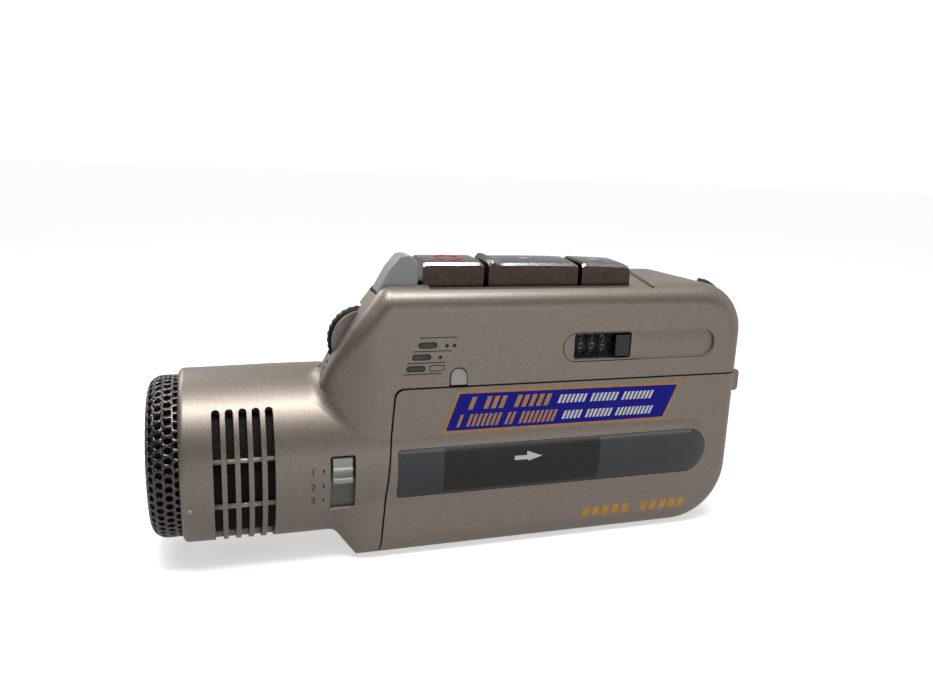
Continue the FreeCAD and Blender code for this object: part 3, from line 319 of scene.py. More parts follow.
PAINT = flake_paint()
MATERIALS = {
    "champagne_paint": PAINT,
    "smoked_window": smoked_plastic(),
    "blue_label": plastic("label_blue", (0.008, 0.010, 0.28), 0.32, Coat_Weight=0.3),
    "chrome_key": metal("key_chrome", (0.16, 0.155, 0.155), 0.14, (1, 1, 1), 400.0, 0.03),
    "spring_steel": metal("spring_wire", (0.5, 0.5, 0.5), 0.3),
    "grille_steel": metal("grille_steel", (0.13, 0.122, 0.115), 0.26),
    "black_foam": soft_foam(),
    "black_plastic": plastic("moulding_black", (0.018, 0.018, 0.019), 0.5),
    "gloss_black": plastic("gloss_black", (0.010, 0.010, 0.012), 0.12, 900.0, 0.02, Coat_Weight=0.5),
    "capsule_metal": metal("capsule_aluminium", (0.7, 0.7, 0.7), 0.3, (1, 20, 20)),
    "plated_steel": metal("plated_steel", (0.55, 0.55, 0.52), 0.35, (1, 1, 12)),
    "lever_plastic": plastic("lever_blue_grey", (0.27, 0.30, 0.305), 0.30, 300.0, 0.01, 0.04,
                             Coat_Weight=0.3),
    "grey_plastic": plastic("moulding_grey", (0.40, 0.42, 0.39), 0.42),
    "lamp_lens": plastic("lamp_lens", (0.06, 0.075, 0.06), 0.25, 800.0, 0.02),
    "digit_white": plastic("digit_drum", (0.02, 0.02, 0.022), 0.5),
    "clear_window": plastic("counter_glass", (0.01, 0.011, 0.013), 0.06, 500.0, 0.01, Alpha=0.16),
    "brass_part": metal("turned_brass", (0.62, 0.45, 0.18), 0.28, (1, 30, 30)),
    "rubber_part": plastic("rubber_black", (0.015, 0.015, 0.015), 0.85, 1500.0, 0.3),
    "tape_shell": plastic("tape_shell", (0.05, 0.05, 0.055), 0.45),
    "tape_pack": plastic("tape_brown", (0.10, 0.05, 0.03), 0.25),
    "head_metal": metal("head_polished", (0.6, 0.6, 0.6), 0.12),
    "cell_jacket": metal("cell_jacket", (0.08, 0.09, 0.12), 0.35),
    "circuit_board": plastic("board_green", (0.03, 0.14, 0.05), 0.4),
}

# Inks, panels, trims and painted light that only the pieces use.
# Black print on the case; on the screw heads the same black is painted shade in the cross recesses.
BLACK_INK_AND_SLOT_SHADE = simple("black_ink_and_painted_slot_shade", (0.012, 0.012, 0.012), 0.5)
GREY_INK = simple("ink_grey", (0.30, 0.30, 0.31), 0.5)
WHITE_INK = simple("ink_white", (0.72, 0.73, 0.74), 0.5)
GOLD_INK = simple("ink_gold", (0.46, 0.25, 0.085), 0.42, 0.2)
ORANGE_INK = simple("ink_orange", (0.62, 0.30, 0.04), 0.45)
BLUE_INK = simple("ink_blue", (0.003, 0.003, 0.30), 0.55, 0.0, Specular_IOR_Level=0.25)
RED_INK = simple("ink_red", (0.45, 0.012, 0.01), 0.35)
DARK_PANEL = simple("panel_dark", (0.014, 0.012, 0.012), 0.10)
SMOKE_PANEL = simple("panel_smoke", (0.046, 0.056, 0.064), 0.10)
# Painted reflection: the chrome keys' front and sides coloured dark brown.
KEY_SIDES_PAINTED_REFLECTION = metal("key_chrome_painted_dark_reflection", (0.070, 0.050, 0.044), 0.15, (3, 1, 1), 700.0, 0.02, 0.20)
# Painted highlight: the keys' chamfer is a brighter, bluish copy of the chrome.
KEY_CHAMFER_PAINTED_HIGHLIGHT = metal("key_chamfer_painted_highlight", (0.34, 0.36, 0.38), 0.26)
MODE_FLOOR = simple("mode_floor_grey", (0.20, 0.21, 0.205), 0.5)
LIP = simple("lip_paint", (0.42, 0.39, 0.36), 0.4, 0.4)


def dress_cad_nodes():
    """Every CAD node gets the material of its slot in the record."""
    wanted = {entry["node"]: entry["material_slot"] for entry in frame["record"]["subparts"]}
    for name, item in NODES.items():
        item.data.materials.clear()
        item.data.materials.append(MATERIALS[wanted[name]])


# ---------------------------------------------------------------- piece kit

SHARP = math.radians(28)    # edges sharper than this are rounded by a piece's bevel


def piece(name, bm, materials, body, replaces=(), smooth=True, bevel=0.0, segments=3):
    """Turn a bmesh drawn in millimetres into a named piece that rides on a body."""
    bmesh.ops.recalc_face_normals(bm, faces=bm.faces)
    mesh = bpy.data.meshes.new(name)
    bm.to_mesh(mesh)
    bm.free()
    mesh.transform(Matrix.Scale(MM, 4))
    for material in materials if isinstance(materials, (list, tuple)) else [materials]:
        mesh.materials.append(material)
    item = bpy.data.objects.new(name, mesh)
    bpy.context.scene.collection.objects.link(item)
    mesh.polygons.foreach_set("use_smooth", [smooth] * len(mesh.polygons))
    if bevel:
        rounding = item.modifiers.new("rounding", "BEVEL")
        rounding.width = bevel * MM
        rounding.segments = segments
        rounding.limit_method = "ANGLE"
        rounding.angle_limit = SHARP
        rounding.harden_normals = True
    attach(item, body)
    if replaces:
        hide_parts(*replaces)
    return item


def placed(axis, u, v, w):
    """(u, v) of an outline is (x, z) for axis y, (x, y) for z and (y, z) for x; w runs along the axis."""
    return {"y": (u, w, v), "z": (u, v, w), "x": (w, u, v)}[axis]


def prism(bm, outline, low, high, axis="y", material=0):
    """Extrude a closed outline along an axis."""
    near = [bm.verts.new(placed(axis, u, v, low)) for u, v in outline]
    far = [bm.verts.new(placed(axis, u, v, high)) for u, v in outline]
    faces = [bm.faces.new(near), bm.faces.new(list(reversed(far)))]
    count = len(outline)
    for i in range(count):
        j = (i + 1) % count
        faces.append(bm.faces.new((near[j], near[i], far[i], far[j])))
    for face in faces:
        face.material_index = material


def block(bm, x0, y0, z0, x1, y1, z1):
    """A plain bar between two corners."""
    prism(bm, [(x0, z0), (x1, z0), (x1, z1), (x0, z1)], y0, y1)


def arc(cx, cz, radius, start, end, steps=8):
    """Points of an arc from start to end degrees."""
    turns = [math.radians(start + (end - start) * i / steps) for i in range(steps + 1)]
    return [(cx + radius * math.cos(t), cz + radius * math.sin(t)) for t in turns]


def pill(x0, x1, z0, z1, radius=None, steps=8):
    """A rectangle with round corners as an outline."""
    r = (z1 - z0) / 2 if radius is None else radius
    return (arc(x1 - r, z0 + r, r, -90, 0, steps) + arc(x1 - r, z1 - r, r, 0, 90, steps)
            + arc(x0 + r, z1 - r, r, 90, 180, steps) + arc(x0 + r, z0 + r, r, 180, 270, steps))


def skin(bm, rows, closed=True, capped=True):
    """Faces between rows of vertices; closed rows go round, and capped ones are filled at both ends."""
    count = len(rows[0])
    for a, b in zip(rows, rows[1:]):
        for k in range(count if closed else count - 1):
            j = (k + 1) % count
            bm.faces.new((a[k], a[j], b[j], b[k]))
    if capped:
        bm.faces.new(rows[0])
        bm.faces.new(rows[-1])


def ring(bm, outer, inner, low, high, axis="y"):
    """Extrude the band between two outlines of equal length."""
    rows = [[bm.verts.new(placed(axis, u, v, w)) for u, v in line]
            for line, w in ((outer, low), (inner, low), (inner, high), (outer, high))]
    skin(bm, rows + rows[:1], capped=False)


def resampled(outline, count):
    """The outline walked at equal steps."""
    loop = outline + outline[:1]
    lengths = [math.dist(a, b) for a, b in zip(loop, loop[1:])]
    total, points = sum(lengths), []
    for k in range(count):
        want, i = total * k / count, 0
        while want > lengths[i]:
            want -= lengths[i]
            i += 1
        t = want / lengths[i] if lengths[i] else 0
        points.append(tuple(p + (q - p) * t for p, q in zip(loop[i], loop[i + 1])))
    return points


def lathe(bm, profile, axis, origin, steps=64, wobble=None):
    """Spin a closed profile of (radius, distance) corners about an axis through origin."""
    ox, oy, oz = origin
    rings = []
    for r, along in profile:
        loop = []
        for k in range(steps):
            t = 2 * math.pi * k / steps
            rr = r if wobble is None else wobble(r, k)
            u, v = rr * math.cos(t), rr * math.sin(t)
            at = {"x": (along, u, v), "y": (u, along, v), "z": (u, v, along)}[axis]
            loop.append(bm.verts.new((ox + at[0], oy + at[1], oz + at[2])))
        rings.append(loop)
    skin(bm, rings + rings[:1], capped=False)
    bmesh.ops.remove_doubles(bm, verts=bm.verts, dist=0.0005)


# ---------------------------------------------------------------- microphone grille

def cap_profile():
    """(distance from the seat along the profile, x, radius) of the grille's outer surface."""
    side_end, side_radius, corner = -66.0, 17.85, 3.3
    points = [(GRILLE_SEAT, side_radius), (side_end, side_radius)]
    points += [(side_end - corner * math.sin(t), 14.55 + corner * math.cos(t))
               for t in (math.radians(a) for a in range(9, 82, 9))]
    points += [(-69.45, 13.4), (-69.75, 10.0), (-69.9, 5.0), (-69.95, 0.9)]
    walked, out = 0.0, [(0.0, *points[0])]
    for a, b in zip(points, points[1:]):
        walked += math.dist(a, b)
        out.append((walked, *b))
    return out


def make_grille():
    """The perforated cap: staggered rows of real holes, with a dark lining behind."""
    row_pitch, hole_pitch = 1.78, 2.02
    biggest_hole, sheet, gap = 0.76, 0.45, 0.9
    profile = cap_profile()
    total = profile[-1][0]

    def at(along, turn):
        """A point of the outer surface, and its radius from the barrel's axis."""
        for (s0, x0, r0), (s1, x1, r1) in zip(profile, profile[1:]):
            if along <= s1 + 1e-9:
                t = (along - s0) / (s1 - s0)
                x, r = x0 + (x1 - x0) * t, r0 + (r1 - r0) * t
                break
        return (x, -r * math.cos(turn), BARREL_Z + r * math.sin(turn)), r

    bm = bmesh.new()
    rows = int(total / row_pitch)
    height = total / rows
    cell = [(-0.5, -0.5), (-0.25, -0.5), (0, -0.5), (0.25, -0.5), (0.5, -0.5), (0.5, 0),
            (0.5, 0.5), (0.25, 0.5), (0, 0.5), (-0.25, 0.5), (-0.5, 0.5), (-0.5, 0)]
    for row in range(rows):
        middle = (row + 0.5) * height
        radius = at(middle, 0.0)[1]
        count = max(5, round(2 * math.pi * radius / hole_pitch))
        wide = 2 * math.pi / count
        hole_v = min(biggest_hole, height * 0.43)
        hole_u = hole_v * 1.05 / radius
        for k in range(count):
            turn = (k + 0.5 * (row % 2)) * wide
            outer, inner = [], []
            for u, v in cell:
                outer.append(bm.verts.new(at(middle + v * height, turn + u * wide)[0]))
                lean = math.atan2(v * height, u * wide * radius)
                rim = at(middle + hole_v * math.sin(lean), turn + hole_u * math.cos(lean))[0]
                inner.append(bm.verts.new(rim))
            skin(bm, [outer, inner], capped=False)
    bmesh.ops.remove_doubles(bm, verts=bm.verts, dist=0.01)
    item = piece("mic_grille", bm, MATERIALS["grille_steel"], "case", ("mic_grille_cap",))
    thick = item.modifiers.new("sheet", "SOLIDIFY")
    thick.thickness = sheet * MM
    thick.offset = -1.0
    bm = bmesh.new()
    inside = [(r - gap if r > 1.2 else 0.0, x + (gap if x < -66.5 else 0.0)) for _, x, r in profile]
    lathe(bm, [(0.0, GRILLE_SEAT)] + inside, "x", (0, 0, BARREL_Z))
    piece("grille_lining", bm, MATERIALS["black_foam"], "case", ())


def make_slot_ribs():
    """Two round ribs that cross the barrel's slots, and the pip near its rim."""
    rib_reach, rib_radius = 18.35, 0.52
    bm = bmesh.new()
    for angle in (13.0, -18.5):
        t = math.radians(angle)
        y, z = -rib_reach * math.cos(t), BARREL_Z + rib_reach * math.sin(t)
        prism(bm, arc(y, z, rib_radius, 0, 345, 23), -56.9, -43.4, "x")
    piece("slot_ribs", bm, LIP, "case", ())
    bm = bmesh.new()
    pip = [(0.0, -0.25), (0.35, -0.25), (0.5, -0.1), (0.5, 0.3), (0.0, 0.3)]
    lathe(bm, pip, "y", (-61.1, -18.5, 15.5), 20)
    piece("barrel_pip", bm, MATERIALS["grey_plastic"], "case", ())


# ---------------------------------------------------------------- cove between barrel and body

def circle_through(a, b, c):
    """Centre and radius of the circle through three points."""
    (ax, ay), (bx, by), (cx, cy) = a, b, c
    aa, bb, cc = ax * ax + ay * ay, bx * bx + by * by, cx * cx + cy * cy
    d = 2 * (ax * (by - cy) + bx * (cy - ay) + cx * (ay - by))
    ux = (aa * (by - cy) + bb * (cy - ay) + cc * (ay - by)) / d
    uy = (aa * (cx - bx) + bb * (ax - cx) + cc * (bx - ax)) / d
    return (ux, uy), math.dist((ux, uy), a)


# The body's left side, seen from the front: a gently round shoulder, a short wall and the chin.
SHOULDER, SHOULDER_R = circle_through((-21.6, 59.7), (-27.0, 52.4), (-35.8, 33.0))
WALL_TOP, WALL_FOOT, CHIN_END = (-35.8, 33.0), (-36.5, 12.5), (-18.3, -10.0)


def half_plane(p, a, b):
    """Distance of p in front of the line from a to b, positive on its left."""
    dx, dy = b[0] - a[0], b[1] - a[1]
    length = math.hypot(dx, dy)
    return (dx * (p[1] - a[1]) - dy * (p[0] - a[0])) / length


def body_distance(x, y, z):
    """Distance from the body without its barrel, for points outside it."""
    round_x, round_front, round_back, round_radius = -21.6, -4.4, 3.2, 14.0
    dx, dy = min(0.0, x - round_x), max(round_front - y, 0.0, y - round_back)
    plan = math.hypot(dx, dy) - round_radius
    side = [math.dist((x, z), SHOULDER) - SHOULDER_R, half_plane((x, z), WALL_FOOT, WALL_TOP),
            half_plane((x, z), CHIN_END, WALL_FOOT), -z]
    rear_facet = (-459.4 * (x + 34) + 522.7 * (y + 5) + 341.9 * (z - 41)) / 775.4
    edge = max(side + [rear_facet])
    if plan > 0 and edge > 0:
        return math.hypot(plan, edge)
    return max(plan, edge)


def gradient(p):
    """Direction in which the distance from the body grows fastest."""
    step = 0.02
    out = []
    for k in range(3):
        high, low = list(p), list(p)
        high[k] += step
        low[k] -= step
        out.append((body_distance(*high) - body_distance(*low)) / (2 * step))
    return Vector(out).normalized()


def make_cove():
    """A rolling-ball fillet where the barrel runs into the left end of the body."""
    biggest_ball, shrink, shrink_from, shrink_over = 4.0, 3.5, 72.0, 16.0
    steps, across, sunk, lifted = 110, 12, 0.012, 0.018
    for name, start, end in (("cove_upper", 21.0, 88.0), ("cove_lower", -21.0, -103.0)):
        bm = bmesh.new()
        rows = []
        for i in range(steps + 1):
            angle = start + (end - start) * (i / steps) ** 1.4
            turn = math.radians(angle)
            ball = biggest_ball - shrink * min(1.0, max(0.0, (abs(angle) - shrink_from) / shrink_over))
            reach = BARREL_R + ball
            y, z = -reach * math.cos(turn), BARREL_Z + reach * math.sin(turn)
            low, high = -60.0, -10.0
            if body_distance(high, y, z) > ball:
                continue
            for _ in range(40):
                middle = (low + high) / 2
                if body_distance(middle, y, z) > ball:
                    low = middle
                else:
                    high = middle
            centre = Vector((low, y, z))
            to_barrel = Vector((0, math.cos(turn), -math.sin(turn)))
            to_body = -gradient(centre)
            lean = to_barrel.angle(to_body)
            row = []
            for k in range(across + 1):
                t = k / across
                way = (to_barrel * math.sin((1 - t) * lean) + to_body * math.sin(t * lean)) / math.sin(lean)
                radius = ball - sunk if 0 < k < across else ball + lifted
                row.append(bm.verts.new(centre + way * radius))
            rows.append(row)
        skin(bm, rows, closed=False, capped=False)
        piece(name, bm, PAINT, "case", ())


# ---------------------------------------------------------------- keys and lever

def make_key(name, body, x0, x1, top):
    """A plated key on a round stem: crowned chrome top, front and sides in a painted dark reflection,
    chamfer in a painted highlight.
    """
    crown, sides, chamfer = 0, 1, 2
    foot, front, back, wall, steps = 57.4, -12.3, -1.2, 1.1, 30
    bm = bmesh.new()
    sections = []
    for i in range(steps + 1):
        x = x0 + (x1 - x0) * i / steps
        z = top(x)
        outline = [(front, foot), (front, z - 0.95), (-11.8, z - 0.35), (-10.2, z - 0.1), (KEY_Y, z + 0.15),
                   (-3.3, z + 0.3), (-2.05, z + 0.25), (back, z - 0.6), (back, foot)]
        ceiling = 64.2 if x0 + 1.2 < x < x1 - 1.2 else 57.45
        outline += [(back - wall, foot), (back - wall, ceiling),
                    (front + wall, ceiling), (front + wall, foot)]
        sections.append([bm.verts.new((x, y, zz)) for y, zz in outline])
    count = len(sections[0])
    for a, b in zip(sections, sections[1:]):
        for k in range(count):
            j = (k + 1) % count
            face = bm.faces.new((a[k], b[k], b[j], a[j]))
            # Chamfer faces get the painted highlight; front, back, inside and end faces get the painted dark
            # reflection.
            face.material_index = chamfer if k == 1 else sides if k == 0 or k > 6 else crown
    for end in (sections[0], sections[-1]):
        bm.faces.new(end).material_index = sides
    stem = [(0.0, 49.5), (1.2, 49.5), (1.2, 64.4), (0.0, 64.4)]
    lathe(bm, stem, "z", ((x0 + x1) / 2, KEY_Y, 0), 20)
    piece(name, bm, [MATERIALS["chrome_key"], KEY_SIDES_PAINTED_REFLECTION, KEY_CHAMFER_PAINTED_HIGHLIGHT], body, (name,), bevel=0.14)


def rounded_top(x, x0, x1, height, corner, left=1.0, right=1.0):
    """Key top height with rounded corners of different size at each end."""
    z = height
    for near, scale in ((x - x0, left), (x1 - x, right)):
        reach = corner * scale
        if near < reach:
            t = 1 - near / reach
            z -= reach * 0.42 * (1 - math.sqrt(max(0.0, 1 - t * t)))
    return z


def ridge(x):
    """The finger ridge at the left end of the play key."""
    t = (x - 4.5) / 0.95
    return 0.72 * math.exp(-t * t)


def make_keys():
    """The three keys, each with its printed sign: ring, triangle and square."""
    def record_top(x):
        return rounded_top(x, -11.7, 2.2, 65.75, 1.1)

    def play_top(x):
        return rounded_top(x, 3.4, 25.2, 65.7 - 0.0012 * (x - 12) ** 2, 0.9) + ridge(x)

    def stop_top(x):
        return rounded_top(x, 26.3, 38.7, 65.65 - 0.04 * (x - 26.3), 1.0, 1.0, 2.0)

    def record_sign(bm):
        ring(bm, arc(-4.75, KEY_Y, 3.3, 0, 350, 35), arc(-4.75, KEY_Y, 2.75, 0, 350, 35), 65.6, 65.98, "z")

    def play_sign(bm):
        prism(bm, [(12.6, -8.6), (16.6, KEY_Y), (12.6, -4.9)], 65.6, 65.93, "z")

    def stop_sign(bm):
        prism(bm, [(30.0, -8.4), (33.2, -8.4), (33.2, -5.2), (30.0, -5.2)], 65.3, 65.70, "z")

    slope = 0.058
    for name, body, x0, x1, top, sign, ink in (
            ("record_key", "record_button", -11.7, 2.2, record_top, record_sign, RED_INK),
            ("play_key", "play_button", 3.4, 25.2, play_top, play_sign, GREY_INK),
            ("stop_key", "stop_button", 26.3, 38.7, stop_top, stop_sign, GREY_INK)):
        make_key(name, body, x0, x1, top)
        bm = bmesh.new()
        sign(bm)
        for vertex in bm.verts:
            vertex.co.z += slope * (vertex.co.y - KEY_Y)
        piece(name + "_mark", bm, ink, body)


def make_springs():
    """Key springs: wire coils that ride on their keys."""
    travel, wire, turns, steps, sides = 2.5, 0.22, 6, 24, 8
    for key in ("record", "play", "stop"):
        low, high = (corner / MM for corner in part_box(key + "_key_spring"))
        cx, cy = (low.x + high.x) / 2, (low.y + high.y) / 2
        radius = (high.x - low.x) / 2 - wire
        bottom, height = low.z + wire, high.z - low.z - 2 * wire
        bm = bmesh.new()
        rows = []
        for i in range(steps * turns + 1):
            t = 2 * math.pi * i / steps
            z = bottom + height * i / (steps * turns)
            row = []
            for k in range(sides):
                a = 2 * math.pi * k / sides
                reach = radius + wire * math.cos(a)
                row.append(bm.verts.new((cx + reach * math.cos(t), cy + reach * math.sin(t),
                                         z + wire * math.sin(a))))
            rows.append(row)
        skin(bm, rows)
        coil = piece(key + "_coil", bm, MATERIALS["spring_steel"], key + "_button", (key + "_key_spring",))
        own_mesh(coil)


def make_lever():
    """The blue-grey fin of the search lever."""
    top = arc(-15.75, 64.35, 2.82, -8, 118, 14)
    outline = [(-13.05, 56.8)] + top + [(-19.3, 64.1), (-21.8, 59.6), (-21.5, 56.8)]
    bm = bmesh.new()
    prism(bm, outline, -13.5, -7.0)
    block(bm, -17.1, -12.3, 54.0, -14.1, -8.2, 58.6)
    piece("search_fin", bm, MATERIALS["lever_plastic"], "lever", ("search_lever",),
          bevel=0.55, segments=5)


def make_volume_wheel():
    """The knurled wheel on its axle, and the cover that closes in on it from below."""
    knurl_depth, middle = 0.16, (WHEEL_X, WHEEL_Y, WHEEL_Z)
    rubber = simple("wheel_black", (0.007, 0.007, 0.008), 0.55, 0.0, Specular_IOR_Level=0.25)
    rim = [(1.2, 0.0), (6.6, 0.0), (7.4, 0.35), (7.4, 3.05), (6.6, 3.4), (1.2, 3.4)]
    axle = [(0.0, -4.0), (1.2, -4.0), (1.2, 4.2), (0.0, 4.2)]
    bm = bmesh.new()
    lathe(bm, rim, "y", middle, 120, lambda r, k: r - (knurl_depth if r > 7 and k % 4 in (2, 3) else 0.0))
    lathe(bm, axle, "y", middle, 24)
    skirt = bmesh.new()
    centre_x, centre_z = SHOULDER
    shoulder = [(centre_x - math.sqrt(SHOULDER_R ** 2 - (z - centre_z) ** 2), z)
                for z in (39.0, 40.5, 42.0, 43.4, 44.67)]
    prism(skirt, shoulder + arc(WHEEL_X, WHEEL_Z, 7.65, 205, 262) + [(-25.3, 39.0)], -9.35, -5.25)
    piece("wheel_skirt", skirt, PAINT, "case", ())
    piece("volume_knurl", bm, rubber, "volume", ("volume_wheel",))


# ---------------------------------------------------------------- front controls

def make_mode_switch():
    """The stepped microphone slider, the grey floor of its slot and the lip below."""
    side = [(-17.75, 24.75), (-18.9, 24.75), (-19.05, 24.2), (-19.0, 22.6), (-19.5, 22.25), (-19.5, 21.75),
            (-18.75, 21.45), (-18.75, 20.45), (-19.5, 20.15), (-19.5, 19.5), (-19.1, 18.95), (-17.75, 18.95)]
    bm = bmesh.new()
    prism(bm, side, -32.1, -27.9, "x")
    piece("mode_slider", bm, MATERIALS["grey_plastic"], "mode_knob", ("mic_mode_knob",),
          bevel=0.14)
    bm = bmesh.new()
    block(bm, -33.2, -16.75, 12.0, -26.8, -16.2, 25.8)
    piece("mode_floor", bm, MODE_FLOOR, "case", ("mic_mode_plate",), bevel=0.1)
    bm = bmesh.new()
    block(bm, -32.6, -17.5, 12.35, -27.4, -16.9, 13.0)
    piece("mode_lip", bm, LIP, "case", (), bevel=0.12)


def on_barrel(x, z, lift):
    """The point at height z on the barrel's front, raised by lift."""
    dz = z - BARREL_Z
    return (x, -math.sqrt(max(0.0, (BARREL_R + lift) ** 2 - dz * dz)), z)


def barrel_patch(bm, x0, x1, z0, z1, lift=0.02, material=0):
    """A thin printed mark laid on the barrel or on its bulge over the lid."""
    facet, sunk = 0.5, -0.06
    steps = max(1, round((z1 - z0) / facet))
    rows = []
    for i in range(steps + 1):
        z = z0 + (z1 - z0) * i / steps
        rows.append([bm.verts.new(on_barrel(x, z, lift)) for x in (x0, x1)]
                    + [bm.verts.new(on_barrel(x, z, sunk)) for x in (x1, x0)])
    for a, b in zip(rows, rows[1:]):
        for k in range(4):
            face = bm.faces.new((a[k], a[(k + 1) % 4], b[(k + 1) % 4], b[k]))
            face.material_index = material
    for end in (rows[0], rows[-1]):
        bm.faces.new(end).material_index = material


def digit_mesh(bm, text, height, place):
    """Extruded generic figures; place maps (u, v, w) in millimetres to 3-D."""
    size_to_height, depth = 1.42, 0.06
    curve = bpy.data.curves.new("figure", "FONT")
    curve.body = text
    curve.size = height * size_to_height
    curve.align_x = "CENTER"
    curve.extrude = depth / 2
    curve.resolution_u = 3
    holder = bpy.data.objects.new("figure", curve)
    mesh = bpy.data.meshes.new_from_object(holder)
    start = len(bm.verts)
    bm.from_mesh(mesh)
    bm.verts.ensure_lookup_table()
    for vertex in bm.verts[start:]:
        u, v, w = vertex.co
        vertex.co = place(u, v - height / 2, w)
    bpy.data.objects.remove(holder)
    bpy.data.curves.remove(curve)
    bpy.data.meshes.remove(mesh)


def make_prints():
    """Printed marks on the case: ticks and figures of the slider, lamp lines, dots and lamp rims."""
    sunk, raised = FRONT_Y + 0.06, FRONT_Y - 0.02
    bm = bmesh.new()
    for number, z in enumerate((22.3, 18.9, 15.5)):
        barrel_patch(bm, -34.35, -33.95, z - 0.35, z + 0.35)
        digit_mesh(bm, str(number + 1), 1.5,
                   lambda u, v, w, z=z: Vector(on_barrel(-36.3 + u, z + v, 0.0)) - Vector((0, w, 0)))
    for x, z in ((-13.6, 50.15), (-15.0, 47.2), (-16.2, 44.65), (-17.0, 42.2)):
        block(bm, x, raised, z - 0.1, x + 8.4, sunk, z + 0.1)
    for x, z in ((-7.6, 48.3), (-5.9, 48.3), (-9.0, 45.8)):
        prism(bm, arc(x, z, 0.42, 0, 345, 23), raised, sunk)
    ring(bm, pill(-11.4, -8.0, 42.7, 44.1, 0.35, 3), pill(-11.2, -8.2, 42.9, 43.9, 0.25, 3), raised, sunk)
    piece("case_print", bm, BLACK_INK_AND_SLOT_SHADE, "case", (), smooth=False)
    bm = bmesh.new()
    for x, z in ((-14.0, 48.5), (-15.3, 45.9), (-16.5, 43.4)):
        outside = pill(x - 0.02, x + 4.32, z - 0.72, z + 0.72)
        inside = pill(x + 0.42, x + 3.88, z - 0.36, z + 0.36)
        ring(bm, outside, inside, FRONT_Y + 0.02, FRONT_Y + 0.15)
    piece("lamp_rims", bm, MATERIALS["gloss_black"], "case", (), bevel=0.04)


# ---------------------------------------------------------------- lid: label, window and marks

def slanted(corners, u, v):
    """A point inside the label's parallelogram, u along and v up, both 0 to 1."""
    (x3, z3), (x2, z2), (x1, z1), (x0, z0) = corners
    low = (x0 + (x1 - x0) * u, z0 + (z1 - z0) * u)
    high = (x3 + (x2 - x3) * u, z3 + (z2 - z3) * u)
    return (low[0] + (high[0] - low[0]) * v, low[1] + (high[1] - low[1]) * v)


def make_label():
    """A blue field with a gold border; rows of plain bars stand for its wording."""
    blue, gold, white = 0, 1, 2
    bar_share = 0.62
    corners = [(-5.0, 38.3), (51.9, 37.7), (47.8, 28.1), (-8.6, 28.1)]

    def quad(u0, u1, v0, v1):
        return [slanted(corners, u, v) for u, v in ((u0, v0), (u1, v0), (u1, v1), (u0, v1))]

    bm = bmesh.new()
    prism(bm, quad(0.004, 0.996, 0.02, 0.98), FRONT_Y - 0.09, FRONT_Y, "y", gold)
    prism(bm, quad(0.018, 0.982, 0.09, 0.91), FRONT_Y - 0.11, FRONT_Y - 0.05, "y", blue)
    for v0, v1, u0, u1, count, spaces, ink in (
            (0.55, 0.83, 0.075, 0.425, 11, (1, 5), gold),
            (0.59, 0.79, 0.435, 0.905, 26, (0, 8, 16, 25), white),
            (0.16, 0.44, 0.055, 0.475, 21, (1, 9, 12), gold),
            (0.20, 0.40, 0.485, 0.935, 26, (0, 6, 14, 25), white)):
        for k in range(count):
            if k in spaces:
                continue
            left = u0 + (u1 - u0) * k / count
            right = left + (u1 - u0) / count * bar_share
            prism(bm, quad(left, right, v0, v1), FRONT_Y - 0.125, FRONT_Y - 0.08, "y", ink)
    piece("lid_label", bm, [BLUE_INK, GOLD_INK, WHITE_INK], "lid", ("label_sticker",),
          smooth=False)


def make_window_marks():
    """The window's darker middle, its lighter left end, the arrow, and the row of bars below."""
    dark, white, smoke = 0, 1, 2
    bm = bmesh.new()
    arrow = [(9.0, 21.3), (12.4, 21.3), (12.4, 20.9), (15.7, 21.9), (12.0, 23.3), (12.0, 22.3), (9.0, 22.3)]
    bulge = -math.sqrt((BARREL_R + 0.012) ** 2 - 0.6 ** 2)
    prism(bm, arrow, bulge - 0.01, bulge + 0.10, "y", white)
    barrel_patch(bm, -7.6, 30.6, 14.8, 25.2, 0.004, dark)
    barrel_patch(bm, -17.6, -8.1, 14.7, 23.6, 0.004, smoke)
    piece("window_marks", bm, [DARK_PANEL, WHITE_INK, SMOKE_PANEL], "lid", (),
          smooth=False)
    bars, space, pitch, width, lean, low, high = 11, 5, 2.62, 1.7, 0.55, 5.0, 7.2
    bm = bmesh.new()
    for k in range(bars):
        if k == space:
            continue
        left = 27.5 + k * pitch
        bar = [(left, low), (left + width, low), (left + width + lean, high), (left + lean, high)]
        prism(bm, bar, FRONT_Y - 0.02, FRONT_Y + 0.1)
    piece("lid_print", bm, ORANGE_INK, "lid", (), smooth=False)


# ---------------------------------------------------------------- tape counter

def make_counter():
    """Figures round the three drums, and the sunk bezel round the counter."""
    drum_y, drum_z, drum_radius, figure_height = -12.7, 47.0, 3.36, 1.75
    for body, x in (("hundreds", 25.3), ("tens", 28.1), ("units", 30.9)):
        bm = bmesh.new()
        for figure in range(10):
            turn = math.radians(36 * figure + (14 if body == "units" else 5))
            cos, sin = math.cos(turn), math.sin(turn)

            def place(u, v, w, cos=cos, sin=sin, x=x):
                y, z = -(drum_radius + w), v
                return Vector((x + u, drum_y + y * cos - z * sin, drum_z + y * sin + z * cos))
            digit_mesh(bm, str(figure), figure_height, place)
        piece(body + "_figures", bm, WHITE_INK, body, (), smooth=False)
    points = 96
    outer = resampled(pill(20.05, 39.4, 43.65, 50.05, 3.0), points)
    inner = resampled(pill(22.6, 37.1, 44.0, 50.0, 0.5), points)
    start = min(range(points), key=lambda i: math.dist(outer[i], (39.4, 46.85)))
    begin = min(range(points), key=lambda i: math.dist(inner[i], (37.1, 47.0)))
    outer, inner = outer[start:] + outer[:start], inner[begin:] + inner[:begin]
    bm = bmesh.new()
    ring(bm, outer, inner, FRONT_Y + 0.02, FRONT_Y + 0.75)
    piece("counter_bezel", bm, PAINT, "case", (), bevel=0.32)


